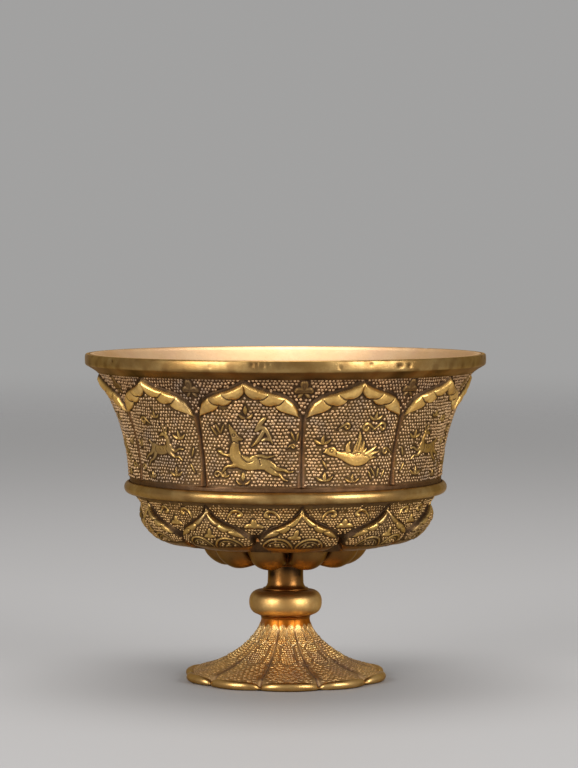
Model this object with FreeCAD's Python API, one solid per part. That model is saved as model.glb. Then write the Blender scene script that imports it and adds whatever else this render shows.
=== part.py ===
"""A gilt metal stem cup with ten lobes, put together from raised and chased sheet.

From the table upwards it has a scalloped foot with a rolled edge, a hollow
bead-shaped knop, a short neck, a plain calyx of ten plump lobes and a bowl. The
bowl has an outer shell, with ten lotus petals below the waist bead and ten arched
panels above it, and a plain lining. An applied band closes the two sheets at the lip.

Lengths are in millimetres and angles in degrees. +Z is up, the origin is the middle
of the face that the foot stands on, and the front of the cup looks along -Y.
"""

import FreeCAD, Part
import math
import os
from FreeCAD import Vector

# Lobes, and where their middles stand, counted from the front towards +X
lobe_count = 10
front_angle = -90.0
panel_turn = 23.7
petal_turn = 5.7
calyx_turn = 20.2
foot_turn = 2.5

# Heights, stacked from the face that the foot stands on
foot_height = 12.3
knop_height = 4.7
neck_height = 4.9
calyx_height = 4.1
belly_height = 10.7
wall_height = 25.3

# Gaps between pieces that solder joins, and the overrun of every cut
seam_gap = 0.05
overrun = 2.0

# Bowl shell: radii are those of the ground between the raised petals and panels
waist_radius = 28.9
shoulder_step = 0.2
belly_step = 1.4
belly_bend = 6.6
belt_height = 3.1
shell_sheet = 0.7
flare_reach = 9.2
shell_below_lip = 1.4
hidden_flare_rings, hidden_belly_rings = 3, 3
lining_flare_rings, lining_belly_rings = 7, 4

# Arched panels
panel_relief = 0.7
panel_edge_relief = 0.25
panel_gap = 0.8
arch_apex_below_lip = 3.8
arch_shoulder_below_lip = 6.1
arch_eave_below_lip = 8.8
panel_rows = 5
arch_sweep_share, arch_sag_share = 0.3, 0.4
arch_slope_drop_share = 2 / 3
hood_relief = 0.3
hood_point_below_lip = 5.5
hood_tip_below_lip = 10.2
hood_leaf_sag = 0.5
hood_cusp_width_shares = (0, 0.36, 0.68, 1)
hood_cusp_drop_shares = (0, 0.42, 0.62, 1)

# Lotus petals
petal_relief = 1.1
petal_top_relief = 0.45
petal_valley_depth = 1.0
petal_apex_below_bead = 2.3
dart_root_rise = 1.6
dart_haunch_width_share, dart_haunch_rise_share = 0.36, 0.5
dart_swell_share, dart_sweep_share = 0.06, 0.05
petal_rows = 5

# Lining, lip band and waist bead
lining_sheet = 0.6
lip_width = 0.85
lip_band_height = 1.85
lip_bevel_height = 1.8
lip_bevel_step = 0.35
lip_edge_round = 0.3
bead_half_height = 1.15
bead_reach = 1.0

# Calyx
calyx_radius = 15.8
calyx_floor_radius = 8.6
calyx_groove_depth = 2.2
calyx_sheet = 0.9
calyx_rows = 5

# Neck and the spigots that carry the calyx, the knop and the foot on it
neck_radius = 3.38
neck_flare_radius = 4.3
neck_flare_height = 1.4
neck_bore_radius = 2.1
spigot_radius = 2.9
spigot_reach = 1.6

# Knop
knop_radius = 6.95
knop_corner = 2.0
knop_sheet = 0.8

# Foot
foot_radius = 18.5
foot_waist_radius = 4.76
foot_waist_height = 1.2
foot_sheet = 0.9
foot_rim_height = 1.9
foot_groove_depth = 0.9
foot_waist_groove_depth = 0.1
foot_curve_power = 1.6
foot_rows = 7
foot_hollow_rings = 4

# Rolled edge of the foot
edge_height = 1.7
edge_reach = 0.9
edge_inner_reach = 0.9
edge_round_angle = 70.0
edge_round_shares = (-1, -0.5, 0, 0.5, 1)

# Solder fillets in the corners under the bowl and along the stem
solder_size = 0.4

pitch_degrees = 360.0 / lobe_count

knop_bottom = foot_height
knop_top = knop_bottom + knop_height
calyx_bottom = knop_top + neck_height
bowl_bottom = calyx_bottom + calyx_height
bead_middle = bowl_bottom + belly_height
lip_top = bead_middle + wall_height

shoulder_radius = waist_radius - shoulder_step
belly_radius = shoulder_radius - belly_step
flare_start = bead_middle + bead_half_height
flare_height = lip_top - flare_start
flare_bend = (flare_height**2 + flare_reach**2) / (2 * flare_reach)
flare_centre_radius = waist_radius + flare_bend
shell_top = lip_top - shell_below_lip
belly_centre_radius = belly_radius - belly_bend
belly_centre_z = bowl_bottom + petal_relief + belly_bend
shoulder_low = bead_middle - bead_half_height
belt_radius = waist_radius + panel_relief
panel_top = lip_top - arch_apex_below_lip
arch_shoulder_z = lip_top - arch_shoulder_below_lip
arch_eave_z = lip_top - arch_eave_below_lip
arch_shoulder_drop = arch_shoulder_z - arch_eave_z
panel_gap_angle = math.degrees(math.asin(panel_gap / 2 / waist_radius))
bevel_bottom = lip_top - lip_band_height - lip_bevel_height


def polar(radius, degrees, z):
    """The point at a radius and an angle about the cup's axis."""
    angle = math.radians(degrees)
    return Vector(radius * math.cos(angle), radius * math.sin(angle), z)


def profile_point(radius, z):
    """A point of a profile, drawn in the plane that is turned about the axis."""
    return Vector(radius, 0, z)


def lines(points):
    """Straight edges from each point to the next."""
    return [Part.makeLine(a, b) for a, b in zip(points, points[1:])]


def arc(start, middle, end):
    """The edge of a circular arc through three points."""
    return Part.Arc(start, middle, end).toShape()


def turned(edges):
    """The solid that a closed profile sweeps in a full turn about the axis."""
    face = Part.Face(Part.Wire(Part.__sortEdges__(edges)))
    solid = face.revolve(Vector(0, 0, 0), Vector(0, 0, 1), 360)
    return Part.Solid(solid) if solid.ShapeType != "Solid" else solid


def lobe_angle(turn, index):
    """The angle of a lobe's middle."""
    return front_angle + turn + index * pitch_degrees


def lobed_wire(z, crest, groove, turn):
    """A level outline of ten arcs that bulge to the crest and meet in the grooves."""
    edges = []
    for index in range(lobe_count):
        middle = lobe_angle(turn, index)
        start = polar(groove, middle - pitch_degrees / 2, z)
        end = polar(groove, middle + pitch_degrees / 2, z)
        edges.append(arc(start, polar(crest, middle, z), end))
    return Part.Wire(edges)


def lobed_solid(rows, turn):
    """A solid through level outlines, each row a height, a crest and a groove radius."""
    return Part.makeLoft([lobed_wire(z, crest, groove, turn) for z, crest, groove in rows], True, True)


def sector_solid(rows, half_angle):
    """One lobe as a curved plate facing +X, rows being a height, crest, groove and inner radius."""
    wires = []
    for z, crest, groove, inner in rows:
        start, end = polar(groove, -half_angle, z), polar(groove, half_angle, z)
        inner_start, inner_end = polar(inner, -half_angle, z), polar(inner, half_angle, z)
        bulge = arc(start, profile_point(crest, z), end)
        back = arc(inner_end, profile_point(inner, z), inner_start)
        sides = [Part.makeLine(end, inner_end), Part.makeLine(inner_start, start)]
        wires.append(Part.Wire([bulge, sides[0], back, sides[1]]))
    return Part.makeLoft(wires, True, True)


def outward_prism(half_outline, reach):
    """An outline mirrored about the plane y = 0, run outwards from the axis."""
    edges = half_outline + [edge.mirror(Vector(0, 0, 0), Vector(0, 1, 0)) for edge in half_outline]
    face = Part.Face(Part.Wire(Part.__sortEdges__(edges)))
    return face.extrude(Vector(reach, 0, 0))


def around(shape, turn):
    """A copy of the shape at the middle of each lobe."""
    copies = []
    for index in range(lobe_count):
        copy = shape.copy()
        copy.rotate(Vector(0, 0, 0), Vector(0, 0, 1), lobe_angle(turn, index))
        copies.append(copy)
    return copies


def wall_radius(z, inset=0.0):
    """The radius of the flared wall at a height, or of the face that lies inset behind it."""
    return flare_centre_radius - math.sqrt((flare_bend + inset) ** 2 - (z - flare_start) ** 2)


arch_half_width = wall_radius(arch_shoulder_z) * math.sin(math.radians(pitch_degrees / 2 - panel_gap_angle))


def hidden_flare_radius(z, inset):
    """The radius at a height of a hidden face, which flares in rings of straight slope."""
    ring_height = flare_height / hidden_flare_rings
    index = min(int((z - flare_start) / ring_height), hidden_flare_rings - 1)
    low = flare_start + index * ring_height
    share = (z - low) / ring_height
    return wall_radius(low, inset) * (1 - share) + wall_radius(low + ring_height, inset) * share


def ringed_side(inset, top, flare_rings, belly_rings):
    """A bowl face inset behind the ground, as rings of straight slope up to a height."""
    points = []
    for index in range(belly_rings + 1):
        angle = math.pi / 2 * (1 - index / belly_rings)
        radius = belly_centre_radius + (belly_bend - inset) * math.cos(angle)
        points.append(profile_point(radius, belly_centre_z - (belly_bend - inset) * math.sin(angle)))
    points.append(profile_point(shoulder_radius - inset, shoulder_low))
    points.append(profile_point(waist_radius - inset, bead_middle))
    for index in range(flare_rings + 1):
        z = flare_start + (top - flare_start) * index / flare_rings
        points.append(profile_point(wall_radius(z, inset), z))
    return lines(points)


def hidden_side(inset):
    """A bowl face that nobody sees, up to the lip."""
    return ringed_side(inset, lip_top, hidden_flare_rings, hidden_belly_rings)


def ground_side():
    """The bowl's ground face from its flat bottom to the shell's top, in true arcs."""
    diagonal = belly_bend * math.sqrt(0.5)
    start = profile_point(belly_centre_radius, belly_centre_z - belly_bend)
    middle = profile_point(belly_centre_radius + diagonal, belly_centre_z - diagonal)
    end = profile_point(belly_radius, belly_centre_z)
    below = profile_point(shoulder_radius, shoulder_low)
    above = profile_point(waist_radius, bead_middle)
    waist = profile_point(waist_radius, flare_start)
    halfway = (flare_start + shell_top) / 2
    flare_middle = profile_point(wall_radius(halfway), halfway)
    flare_end = profile_point(wall_radius(shell_top), shell_top)
    return [arc(start, middle, end), *lines([end, below, above, waist]), arc(waist, flare_middle, flare_end)]


def filled_to_axis(side, inset, top):
    """The solid inside a bowl face, from its flat bottom to its top."""
    bottom = profile_point(belly_centre_radius, belly_centre_z - belly_bend + inset)
    rim = profile_point(wall_radius(top, inset), top)
    return turned([*side, *lines([rim, Vector(0, 0, top), Vector(0, 0, bottom.z), bottom])])


def bowl_ground():
    """The shell's plain ground, solid to the axis, with the plain belt that the bead lies on."""
    body = filled_to_axis(ground_side(), 0.0, shell_top)
    belt = Part.makeCylinder(belt_radius, belt_height, Vector(0, 0, shoulder_low))
    return body.fuse(belt)


def bulged_panel(lift):
    """One panel as a bulged sector that flares with the wall, raised by a lift, facing +X."""
    rows = []
    for index in range(panel_rows):
        z = flare_start + flare_height * index / (panel_rows - 1)
        edge = wall_radius(z) + panel_edge_relief + lift
        rows.append((z, edge + panel_relief - panel_edge_relief, edge, wall_radius(z) - shell_sheet / 2))
    return sector_solid(rows, pitch_degrees / 2 - panel_gap_angle)


def arch_half():
    """Half of the bracket arch: a sweep down from the point, a slope and a round shoulder."""
    shoulder = Vector(0, arch_half_width - arch_shoulder_drop, arch_shoulder_z)
    slope_z = panel_top - (panel_top - arch_shoulder_z) * arch_slope_drop_share
    slope = Vector(0, arch_half_width * arch_sweep_share, slope_z)
    apex = Vector(0, 0, panel_top)
    sweep = Vector(0, slope.y * arch_sag_share, (slope.z + panel_top) / 2 - slope.y * arch_sag_share / 2)
    diagonal = arch_shoulder_drop * math.sqrt(0.5)
    bend = Vector(0, shoulder.y + diagonal, arch_eave_z + diagonal)
    eave = Vector(0, arch_half_width, arch_eave_z)
    side = Vector(0, arch_half_width + panel_relief, arch_eave_z)
    return [arc(apex, sweep, slope), *lines([slope, shoulder]), arc(shoulder, bend, eave), *lines([eave, side])]


def arched_panel():
    """One raised panel with its bracket arch, facing +X."""
    side = arch_half_width + panel_relief
    points = [Vector(0, side, arch_eave_z), Vector(0, side, flare_start), Vector(0, 0, flare_start)]
    return bulged_panel(0.0).common(outward_prism([*arch_half(), *lines(points)], lip_top))


def panel_hood():
    """The smooth hood over the arch, with three leaves hanging on each side, facing +X."""
    side = arch_half_width + panel_relief
    cusps = []
    for width, drop in zip(hood_cusp_width_shares, hood_cusp_drop_shares):
        below_lip = hood_point_below_lip + (hood_tip_below_lip - hood_point_below_lip) * drop
        cusps.append(Vector(0, side * width, lip_top - below_lip))
    leaves = []
    for inner, outer in zip(cusps, cusps[1:]):
        middle = (inner + outer) / 2 - Vector(0, 0, hood_leaf_sag)
        leaves.append(arc(inner, middle, outer))
    outline = [*arch_half(), *lines([Vector(0, side, arch_eave_z), cusps[-1]]), *leaves]
    return bulged_panel(hood_relief).common(outward_prism(outline, lip_top))


def lobed_belly():
    """The belly at full relief: ten plump lobes that are flat where the calyx meets them."""
    crest_bend = belly_bend + petal_relief
    top_crest = shoulder_radius + petal_top_relief
    rows = [(shoulder_low, top_crest, top_crest - petal_valley_depth)]
    for index in range(petal_rows):
        angle = math.pi / 2 * index / (petal_rows - 1)
        crest = belly_centre_radius + crest_bend * math.cos(angle)
        rows.append((belly_centre_z - crest_bend * math.sin(angle), crest, crest - petal_valley_depth))
    rows.reverse()
    return lobed_solid(rows, petal_turn)


def petal_dart():
    """What is cut away between two petals, which leaves each its pointed tip, facing +X."""
    root_z = bowl_bottom + dart_root_rise
    tip_z = bead_middle - petal_apex_below_bead
    half_width = belly_radius * math.sin(math.radians(pitch_degrees / 2))
    rise = tip_z - root_z
    root = Vector(0, 0, root_z)
    haunch = Vector(0, half_width * dart_haunch_width_share, root_z + rise * dart_haunch_rise_share)
    tip = Vector(0, half_width, tip_z)
    swell = (root + haunch) / 2 - Vector(0, rise * dart_swell_share, -rise * dart_swell_share)
    sweep = (haunch + tip) / 2 + Vector(0, rise * dart_sweep_share, -rise * dart_sweep_share)
    top = shoulder_low + overrun
    outline = [
        arc(root, swell, haunch),
        arc(haunch, sweep, tip),
        *lines([tip, Vector(0, half_width, top), Vector(0, 0, top)]),
    ]
    return outward_prism(outline, lip_top)


def outer_bowl():
    """The chased shell: plain ground, ten petals and ten hooded panels, hollow behind."""
    valley_turn = petal_turn + pitch_degrees / 2
    petals = lobed_belly().cut(around(petal_dart(), valley_turn))
    panels = around(arched_panel().fuse(panel_hood()), panel_turn)
    hollow = filled_to_axis(hidden_side(shell_sheet), shell_sheet, lip_top)
    return bowl_ground().fuse(petals).cut(hollow).multiFuse(panels)


def lining():
    """The plain inner bowl, which lies a film of solder inside the shell."""
    back = shell_sheet + seam_gap
    face = back + lining_sheet
    body = filled_to_axis(hidden_side(back), back, lip_top)
    top = lip_top + overrun
    inner_side = ringed_side(face, top, lining_flare_rings, lining_belly_rings)
    return body.cut(filled_to_axis(inner_side, face, top))


def lip_band():
    """The applied band that closes the rim, with its upright face and lower bevel."""
    inner_top = hidden_flare_radius(lip_top, shell_sheet)
    outer = inner_top + lip_width
    band_bottom = lip_top - lip_band_height
    seat = shell_top + seam_gap
    round_drop = lip_edge_round * (1 - math.sqrt(0.5))
    outer_foot = wall_radius(bevel_bottom, -seam_gap) + lip_bevel_step
    ground_top = profile_point(wall_radius(seat, -seam_gap), seat)
    ground_bottom = profile_point(wall_radius(bevel_bottom, -seam_gap), bevel_bottom)
    lining_low = profile_point(hidden_flare_radius(seat, shell_sheet), seat)
    top_in = profile_point(inner_top, lip_top)
    round_start = profile_point(outer - lip_edge_round, lip_top)
    round_middle = profile_point(outer - round_drop, lip_top - round_drop)
    round_end = profile_point(outer, lip_top - lip_edge_round)
    bevel_top = profile_point(outer, band_bottom)
    bevel_foot = profile_point(outer_foot, bevel_bottom)
    return turned([
        *lines([lining_low, top_in, round_start]),
        arc(round_start, round_middle, round_end),
        *lines([round_end, bevel_top, bevel_foot, ground_bottom, ground_top, lining_low]),
    ])


def waist_bead():
    """The half-round moulding that hides the turn between petals and panels."""
    back = belt_radius + seam_gap
    top = profile_point(back, bead_middle + bead_half_height)
    bottom = profile_point(back, bead_middle - bead_half_height)
    crest = profile_point(back + bead_reach, bead_middle)
    return turned([arc(bottom, crest, top), *lines([top, bottom])])


def calyx():
    """The plain cup of ten plump lobes between the bowl and the neck."""
    rows = []
    for index in range(calyx_rows):
        angle = math.pi / 2 * index / (calyx_rows - 1)
        crest = calyx_floor_radius + (calyx_radius - calyx_floor_radius) * math.sin(angle)
        depth = calyx_groove_depth * math.sin(angle)
        rows.append((calyx_bottom + calyx_height * (1 - math.cos(angle)), crest, crest - depth))
    body = lobed_solid(rows, calyx_turn)
    floor = calyx_bottom + calyx_sheet
    mouth = calyx_radius - calyx_groove_depth - calyx_sheet
    bottom = calyx_floor_radius - calyx_sheet
    hollow = Part.makeCone(bottom, mouth, calyx_height - calyx_sheet, Vector(0, 0, floor))
    hole = Part.makeCylinder(spigot_radius + seam_gap, calyx_height, Vector(0, 0, calyx_bottom))
    return body.cut(hollow.fuse(hole))


def stem_neck():
    """The spool under the calyx, in one piece with the spigots above and below it."""
    top = calyx_bottom + calyx_sheet
    flare_top = knop_top + neck_flare_height
    low_end = knop_bottom - spigot_reach
    flare_middle = neck_radius + (neck_flare_radius - neck_radius) * (1 - math.sqrt(0.5))
    flare_middle_z = flare_top - neck_flare_height * math.sqrt(0.5)
    return turned([
        *lines([
            profile_point(neck_bore_radius, low_end),
            profile_point(neck_bore_radius, top),
            profile_point(spigot_radius, top),
            profile_point(spigot_radius, calyx_bottom),
            profile_point(neck_radius, calyx_bottom),
            profile_point(neck_radius, flare_top),
        ]),
        arc(
            profile_point(neck_radius, flare_top),
            profile_point(flare_middle, flare_middle_z),
            profile_point(neck_flare_radius, knop_top),
        ),
        *lines([
            profile_point(neck_flare_radius, knop_top),
            profile_point(spigot_radius, knop_top),
            profile_point(spigot_radius, low_end),
            profile_point(neck_bore_radius, low_end),
        ]),
    ])


def rounded_drum(radius, corner, bottom, top, hole):
    """A drum with round outer corners and a hole down its axis."""
    inset = corner * (1 - math.sqrt(0.5))
    return turned([
        *lines([profile_point(hole, bottom), profile_point(radius - corner, bottom)]),
        arc(
            profile_point(radius - corner, bottom),
            profile_point(radius - inset, bottom + inset),
            profile_point(radius, bottom + corner),
        ),
        *lines([profile_point(radius, bottom + corner), profile_point(radius, top - corner)]),
        arc(
            profile_point(radius, top - corner),
            profile_point(radius - inset, top - inset),
            profile_point(radius - corner, top),
        ),
        *lines([profile_point(radius - corner, top), profile_point(hole, top), profile_point(hole, bottom)]),
    ])


def knop():
    """The hollow bead that is threaded on the neck's lower spigot."""
    hole = spigot_radius + seam_gap
    body = rounded_drum(knop_radius, knop_corner, knop_bottom, knop_top, hole)
    inner = knop_radius - knop_sheet
    hollow_low, hollow_high = knop_bottom + knop_sheet, knop_top - knop_sheet
    hollow = Part.makeCylinder(inner, hollow_high - hollow_low, Vector(0, 0, hollow_low))
    core = Part.makeCylinder(hole, hollow_high - hollow_low, Vector(0, 0, hollow_low))
    return body.cut(hollow.cut(core).fuse(core))


def foot_row(share, inset):
    """A height, crest and groove radius on the trumpet, for a share of its sweep."""
    angle = math.pi / 2 * share
    power = 2 / foot_curve_power
    run = foot_radius - foot_waist_radius
    drop = foot_height - foot_waist_height - foot_rim_height
    crest = foot_radius - run * math.cos(angle) ** power
    z = foot_height - foot_waist_height - drop * math.sin(angle) ** power
    depth = foot_waist_groove_depth + (foot_groove_depth - foot_waist_groove_depth) * share**2
    return z - inset, crest - inset / 2, crest - inset / 2 - depth


def foot():
    """The scalloped trumpet foot, with a plain collar where the knop stands on it."""
    rows = [foot_row(index / (foot_rows - 1), 0.0) for index in range(foot_rows)]
    rows.reverse()
    waist_z, _, waist_groove = rows[-1]
    body = lobed_solid(rows, foot_turn)
    flange = lobed_wire(rows[0][0], rows[0][1], rows[0][2], foot_turn)
    edge_flange = Part.Face(flange).extrude(Vector(0, 0, edge_height - rows[0][0]))
    collar = Part.makeCylinder(waist_groove, foot_height - waist_z, Vector(0, 0, waist_z))
    body = body.multiFuse([edge_flange, collar])
    hollow_rows = [foot_row(index / foot_hollow_rings, foot_sheet) for index in range(foot_hollow_rings + 1)]
    points = [profile_point(groove, z) for z, crest, groove in hollow_rows]
    top = Vector(0, 0, points[0].z)
    low = Vector(0, 0, edge_height - overrun)
    last = points[-1]
    outline = [*points, profile_point(last.x, low.z), low, top, points[0]]
    hollow = turned(lines(outline))
    bore = Part.makeCylinder(spigot_radius + seam_gap, foot_height, Vector(0, 0, waist_z - foot_height / 2))
    return body.cut(hollow.fuse(bore))


def foot_edge():
    """The rolled edge that follows the scallops and carries the cup on its flat foot."""
    rim_crest = foot_radius
    rim_groove = foot_radius - foot_groove_depth
    half = edge_height / 2
    rows = []
    for share in edge_round_shares:
        reach = edge_reach * math.cos(math.radians(edge_round_angle * share))
        rows.append((half * (1 + share), rim_crest + reach, rim_groove + reach))
    body = lobed_solid(rows, foot_turn)
    inner = rim_groove - edge_inner_reach
    wire = lobed_wire(-overrun, inner + foot_groove_depth, inner, foot_turn)
    return body.cut(Part.Face(wire).extrude(Vector(0, 0, edge_height + 2 * overrun)))


def solder_ring(radius, z, up):
    """A fillet of solder in the corner between an upright face and a level one."""
    tip = z + solder_size * up
    corner = profile_point(radius, z)
    return turned(lines([corner, profile_point(radius + solder_size, z), profile_point(radius, tip), corner]))


def calyx_solder():
    """The fillet that follows the calyx lobes under the bowl."""
    top = bowl_bottom - seam_gap
    crest = calyx_radius + seam_gap
    groove = crest - calyx_groove_depth
    low = (top - solder_size, crest, groove)
    high = (top, crest + solder_size, groove + solder_size)
    core = lobed_wire(top - solder_size - overrun, crest, groove, calyx_turn)
    return lobed_solid([low, high], calyx_turn).cut(Part.Face(core).extrude(Vector(0, 0, 2 * overrun)))


def neck_solder():
    """The fillet between the calyx floor and the neck."""
    return solder_ring(neck_radius + seam_gap, calyx_bottom - seam_gap, -1)


def knop_top_solder():
    """The fillet between the neck's flare and the knop."""
    return solder_ring(neck_flare_radius + seam_gap, knop_top + seam_gap, 1)


def knop_bottom_solder():
    """The fillet between the knop and the collar of the foot."""
    collar = foot_waist_radius - foot_waist_groove_depth
    return solder_ring(collar + seam_gap, knop_bottom - seam_gap, -1)


pieces = {
    "outer_bowl": outer_bowl,
    "lining": lining,
    "lip_band": lip_band,
    "waist_bead": waist_bead,
    "calyx": calyx,
    "stem_neck": stem_neck,
    "knop": knop,
    "foot": foot,
    "foot_edge": foot_edge,
    "calyx_solder": calyx_solder,
    "neck_solder": neck_solder,
    "knop_top_solder": knop_top_solder,
    "knop_bottom_solder": knop_bottom_solder,
}

os.makedirs("parts", exist_ok=True)
for name, make in pieces.items():
    shape = make()
    print(name, shape.ShapeType, len(shape.Solids), "valid", shape.isValid(), "volume", round(shape.Volume, 1))
    shape.exportStep(os.path.join("parts", name + ".step"))
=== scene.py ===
import bmesh
import bpy
import math
import numpy as np
from mathutils import Matrix, Vector


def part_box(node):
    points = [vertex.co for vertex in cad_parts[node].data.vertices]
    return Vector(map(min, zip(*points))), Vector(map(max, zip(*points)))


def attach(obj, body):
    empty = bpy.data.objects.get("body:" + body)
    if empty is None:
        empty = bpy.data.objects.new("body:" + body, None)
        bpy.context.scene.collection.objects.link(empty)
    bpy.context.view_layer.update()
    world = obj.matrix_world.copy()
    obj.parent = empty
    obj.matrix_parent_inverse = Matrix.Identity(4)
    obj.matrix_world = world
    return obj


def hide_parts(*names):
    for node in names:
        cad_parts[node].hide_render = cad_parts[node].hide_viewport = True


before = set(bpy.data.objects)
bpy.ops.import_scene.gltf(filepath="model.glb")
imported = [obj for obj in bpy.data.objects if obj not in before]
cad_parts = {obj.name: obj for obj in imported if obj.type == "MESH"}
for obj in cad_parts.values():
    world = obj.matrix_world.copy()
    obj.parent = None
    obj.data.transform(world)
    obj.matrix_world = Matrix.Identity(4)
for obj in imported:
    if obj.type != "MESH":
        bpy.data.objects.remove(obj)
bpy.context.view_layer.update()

# Sizes are in millimetres and are turned into metres when a piece's mesh is placed
metres = 0.001


def cad_heights(node):
    """The lowest and the highest point of a CAD piece."""
    low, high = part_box(node)
    return round(low[2] / metres, 2), round(high[2] / metres, 2)


_, foot_height = cad_heights("foot")
_, knop_top = cad_heights("knop")
calyx_bottom, calyx_top = cad_heights("calyx")
bead_bottom, bead_top = cad_heights("waist_bead")
_, lip_top = cad_heights("lip_band")
bead_middle = (bead_bottom + bead_top) / 2

lobe_count = 10
lobe_step = 2 * math.pi / lobe_count
front = -math.pi / 2
panel_turn, petal_turn, calyx_turn, foot_turn = (math.radians(angle) for angle in (23.7, 5.7, 20.2, 2.5))

# The bowl's ground is a flared wall over a belly that turns under, and the petals' crests stand outside it
waist_radius = 28.9
flare_reach = 9.2
flare_bend = ((lip_top - bead_top) ** 2 + flare_reach ** 2) / (2 * flare_reach)
flare_centre = waist_radius + flare_bend
ground_bend, crest_bend = 6.6, 7.7
belly_centre_radius = 20.7
belly_centre_z = calyx_top + crest_bend
shoulder_run = 2.0
belly_run = crest_bend * math.pi / 2

lip_radius = 38.0
bead_seat_radius, bead_bulge, bead_half_height = 29.63, 0.97, 1.13
calyx_radius, calyx_lobe_start = 15.8, 8.6
neck_radius, neck_flare_radius = 3.4, 4.25
knop_seat_radius, knop_bulge = 4.6, 2.32

fineness = 1.0


# Mesh tools

def mesh_from(name, bm):
    """A mesh of what was built, which is then freed."""
    mesh = bpy.data.meshes.new(name)
    bm.to_mesh(mesh)
    bm.free()
    return mesh


def grid_mesh(name, columns, rows):
    """A flat grid of unit half width, whose places are moved afterwards."""
    bm = bmesh.new()
    bmesh.ops.create_grid(bm, x_segments=int(columns * fineness), y_segments=int(rows * fineness), size=1)
    return mesh_from(name, bm)


def places(mesh):
    """The places of a mesh's points, one row each."""
    values = np.empty(len(mesh.vertices) * 3, dtype=np.float32)
    mesh.vertices.foreach_get("co", values)
    return values.reshape(-1, 3).astype(float)


def move_points(mesh, points):
    """Puts a mesh's points at new places, given in millimetres."""
    mesh.vertices.foreach_set("co", (points * metres).astype(np.float32).ravel())
    mesh.update()


def store(mesh, name, values):
    """Keeps one number for each point, which a material reads by its name."""
    layer = mesh.attributes.new(name, "FLOAT", "POINT")
    layer.data.foreach_set("value", np.asarray(values, dtype=np.float32))


def finish_numbers(mesh, polish, dirt_and_shade, rouge=0.0, shade=0.5):
    """The numbers that the gilt materials read: smoothness, darkening by dirt and by painted shade, copper
    tint, and shade of gold, which on some pieces also paints light or shade.
    """
    for name, values in zip(("polish", "dirt_and_shade", "rouge", "shade"), (polish, dirt_and_shade, rouge, shade)):
        store(mesh, name, np.clip(np.broadcast_to(values, (len(mesh.vertices),)), 0, 1))


def dot_numbers(mesh, rise, rouge, shades):
    """Finish numbers of punched dots: rubbed bright on top, and dark where they spring with patina and
    painted shade.
    """
    finish_numbers(mesh, 0.8 * ease(rise, 0.3, 0.85), 0.9 - 0.9 * ease(rise, 0.1, 0.6), 0.6 * rouge, shades)


def finished(mesh, material, slot, *nodes):
    """The piece made of a placed mesh, riding on the cup and standing for CAD nodes."""
    mesh.materials.append(material)
    mesh.polygons.foreach_set("use_smooth", [True] * len(mesh.polygons))
    piece = bpy.data.objects.new(mesh.name, mesh)
    bpy.context.scene.collection.objects.link(piece)
    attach(piece, "root")
    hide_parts(*nodes)
    return piece


def around_axis(radius, angle, z):
    """Points at a radius, an angle about the axis and a height."""
    return np.stack([radius * np.cos(angle), radius * np.sin(angle), z], axis=1)


def away_from(angle, degrees):
    """How far each angle is from a place counted in degrees from the front."""
    return np.angle(np.exp(1j * (angle - front - math.radians(degrees))))


def lobe_share(angle, turn):
    """0 in the middle of each of the ten lobes and 1 in the notch between two."""
    lobe = (angle - front - turn + lobe_step / 2) % lobe_step - lobe_step / 2
    return np.abs(lobe) / (lobe_step / 2)


def ease(value, low, high):
    """A smooth rise from 0 at the low value to 1 at the high one."""
    share = np.clip((value - low) / (high - low), 0, 1)
    return share * share * (3 - 2 * share)


def ridge(distance, width):
    """A soft rounded line where the distance is near zero."""
    return np.exp(-(distance / width) ** 2)


def uneven(angle, height, seed, size):
    """Slow hand-made unevenness between about -1 and 1, as a sum of turned waves."""
    pick = np.random.default_rng(seed)
    total = np.zeros_like(angle)
    for _ in range(7):
        turns = pick.integers(1, size)
        total += np.sin(turns * angle + pick.uniform(-0.6, 0.6) * height + pick.uniform(0, 6.28))
    return total / 7


def hand_made(angle, height, seed, size):
    """The same unevenness between about 0 and 1."""
    return 0.5 + 0.5 * uneven(angle, height, seed, size)


# Drawing with strokes: each is a chain of x, y and half width, on the unrolled surface

def smooth_chain(chain, steps=4):
    """A chain with points added along a smooth curve through it."""
    chain = np.array(chain, dtype=float)
    padded = np.vstack([2 * chain[0] - chain[1], chain, 2 * chain[-1] - chain[-2]])
    made = []
    for a, b, c, d in zip(padded, padded[1:], padded[2:], padded[3:]):
        for step in range(steps):
            t = step / steps
            square = (2 * a - 5 * b + 4 * c - d) * t ** 2
            cube = (3 * b - a - 3 * c + d) * t ** 3
            made.append(0.5 * (2 * b + (c - a) * t + square + cube))
    made.append(chain[-1])
    made = np.array(made)
    made[:, 2] = np.maximum(made[:, 2], 0.03)
    return made


def near_points(points, reach, x, y):
    """Which places are inside a box that reaches a little past some points."""
    low, high = points.min(axis=0) - reach, points.max(axis=0) + reach
    return (x > low[0]) & (x < high[0]) & (y > low[1]) & (y < high[1])


def away_from_runs(start, run, x, y):
    """How far each place is from each straight run, and the share of the run where it is nearest."""
    length = np.maximum(run[:, 0] ** 2 + run[:, 1] ** 2, 1e-9)
    share = np.clip(((x - start[:, 0]) * run[:, 0] + (y - start[:, 1]) * run[:, 1]) / length, 0, 1)
    away = np.hypot(x - start[:, 0] - share * run[:, 0], y - start[:, 1] - share * run[:, 1])
    return away, share


def stroke_distance(chain, x, y):
    """How far each place is outside a stroke, negative inside it."""
    chain = smooth_chain(chain)
    result = np.full(x.shape, 9.0)
    near = near_points(chain, chain[:, 2].max() + 1.2, x, y)
    if near.any():
        start, run = chain[:-1], np.diff(chain, axis=0)
        away, share = away_from_runs(start, run, x[near][:, None], y[near][:, None])
        result[near] = (away - start[:, 2] - share * run[:, 2]).min(axis=1)
    return result


def strokes_distance(chains, x, y):
    """How far each place is outside a group of strokes."""
    result = np.full(x.shape, 9.0)
    for chain in chains:
        result = np.minimum(result, stroke_distance(chain, x, y))
    return result


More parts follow.
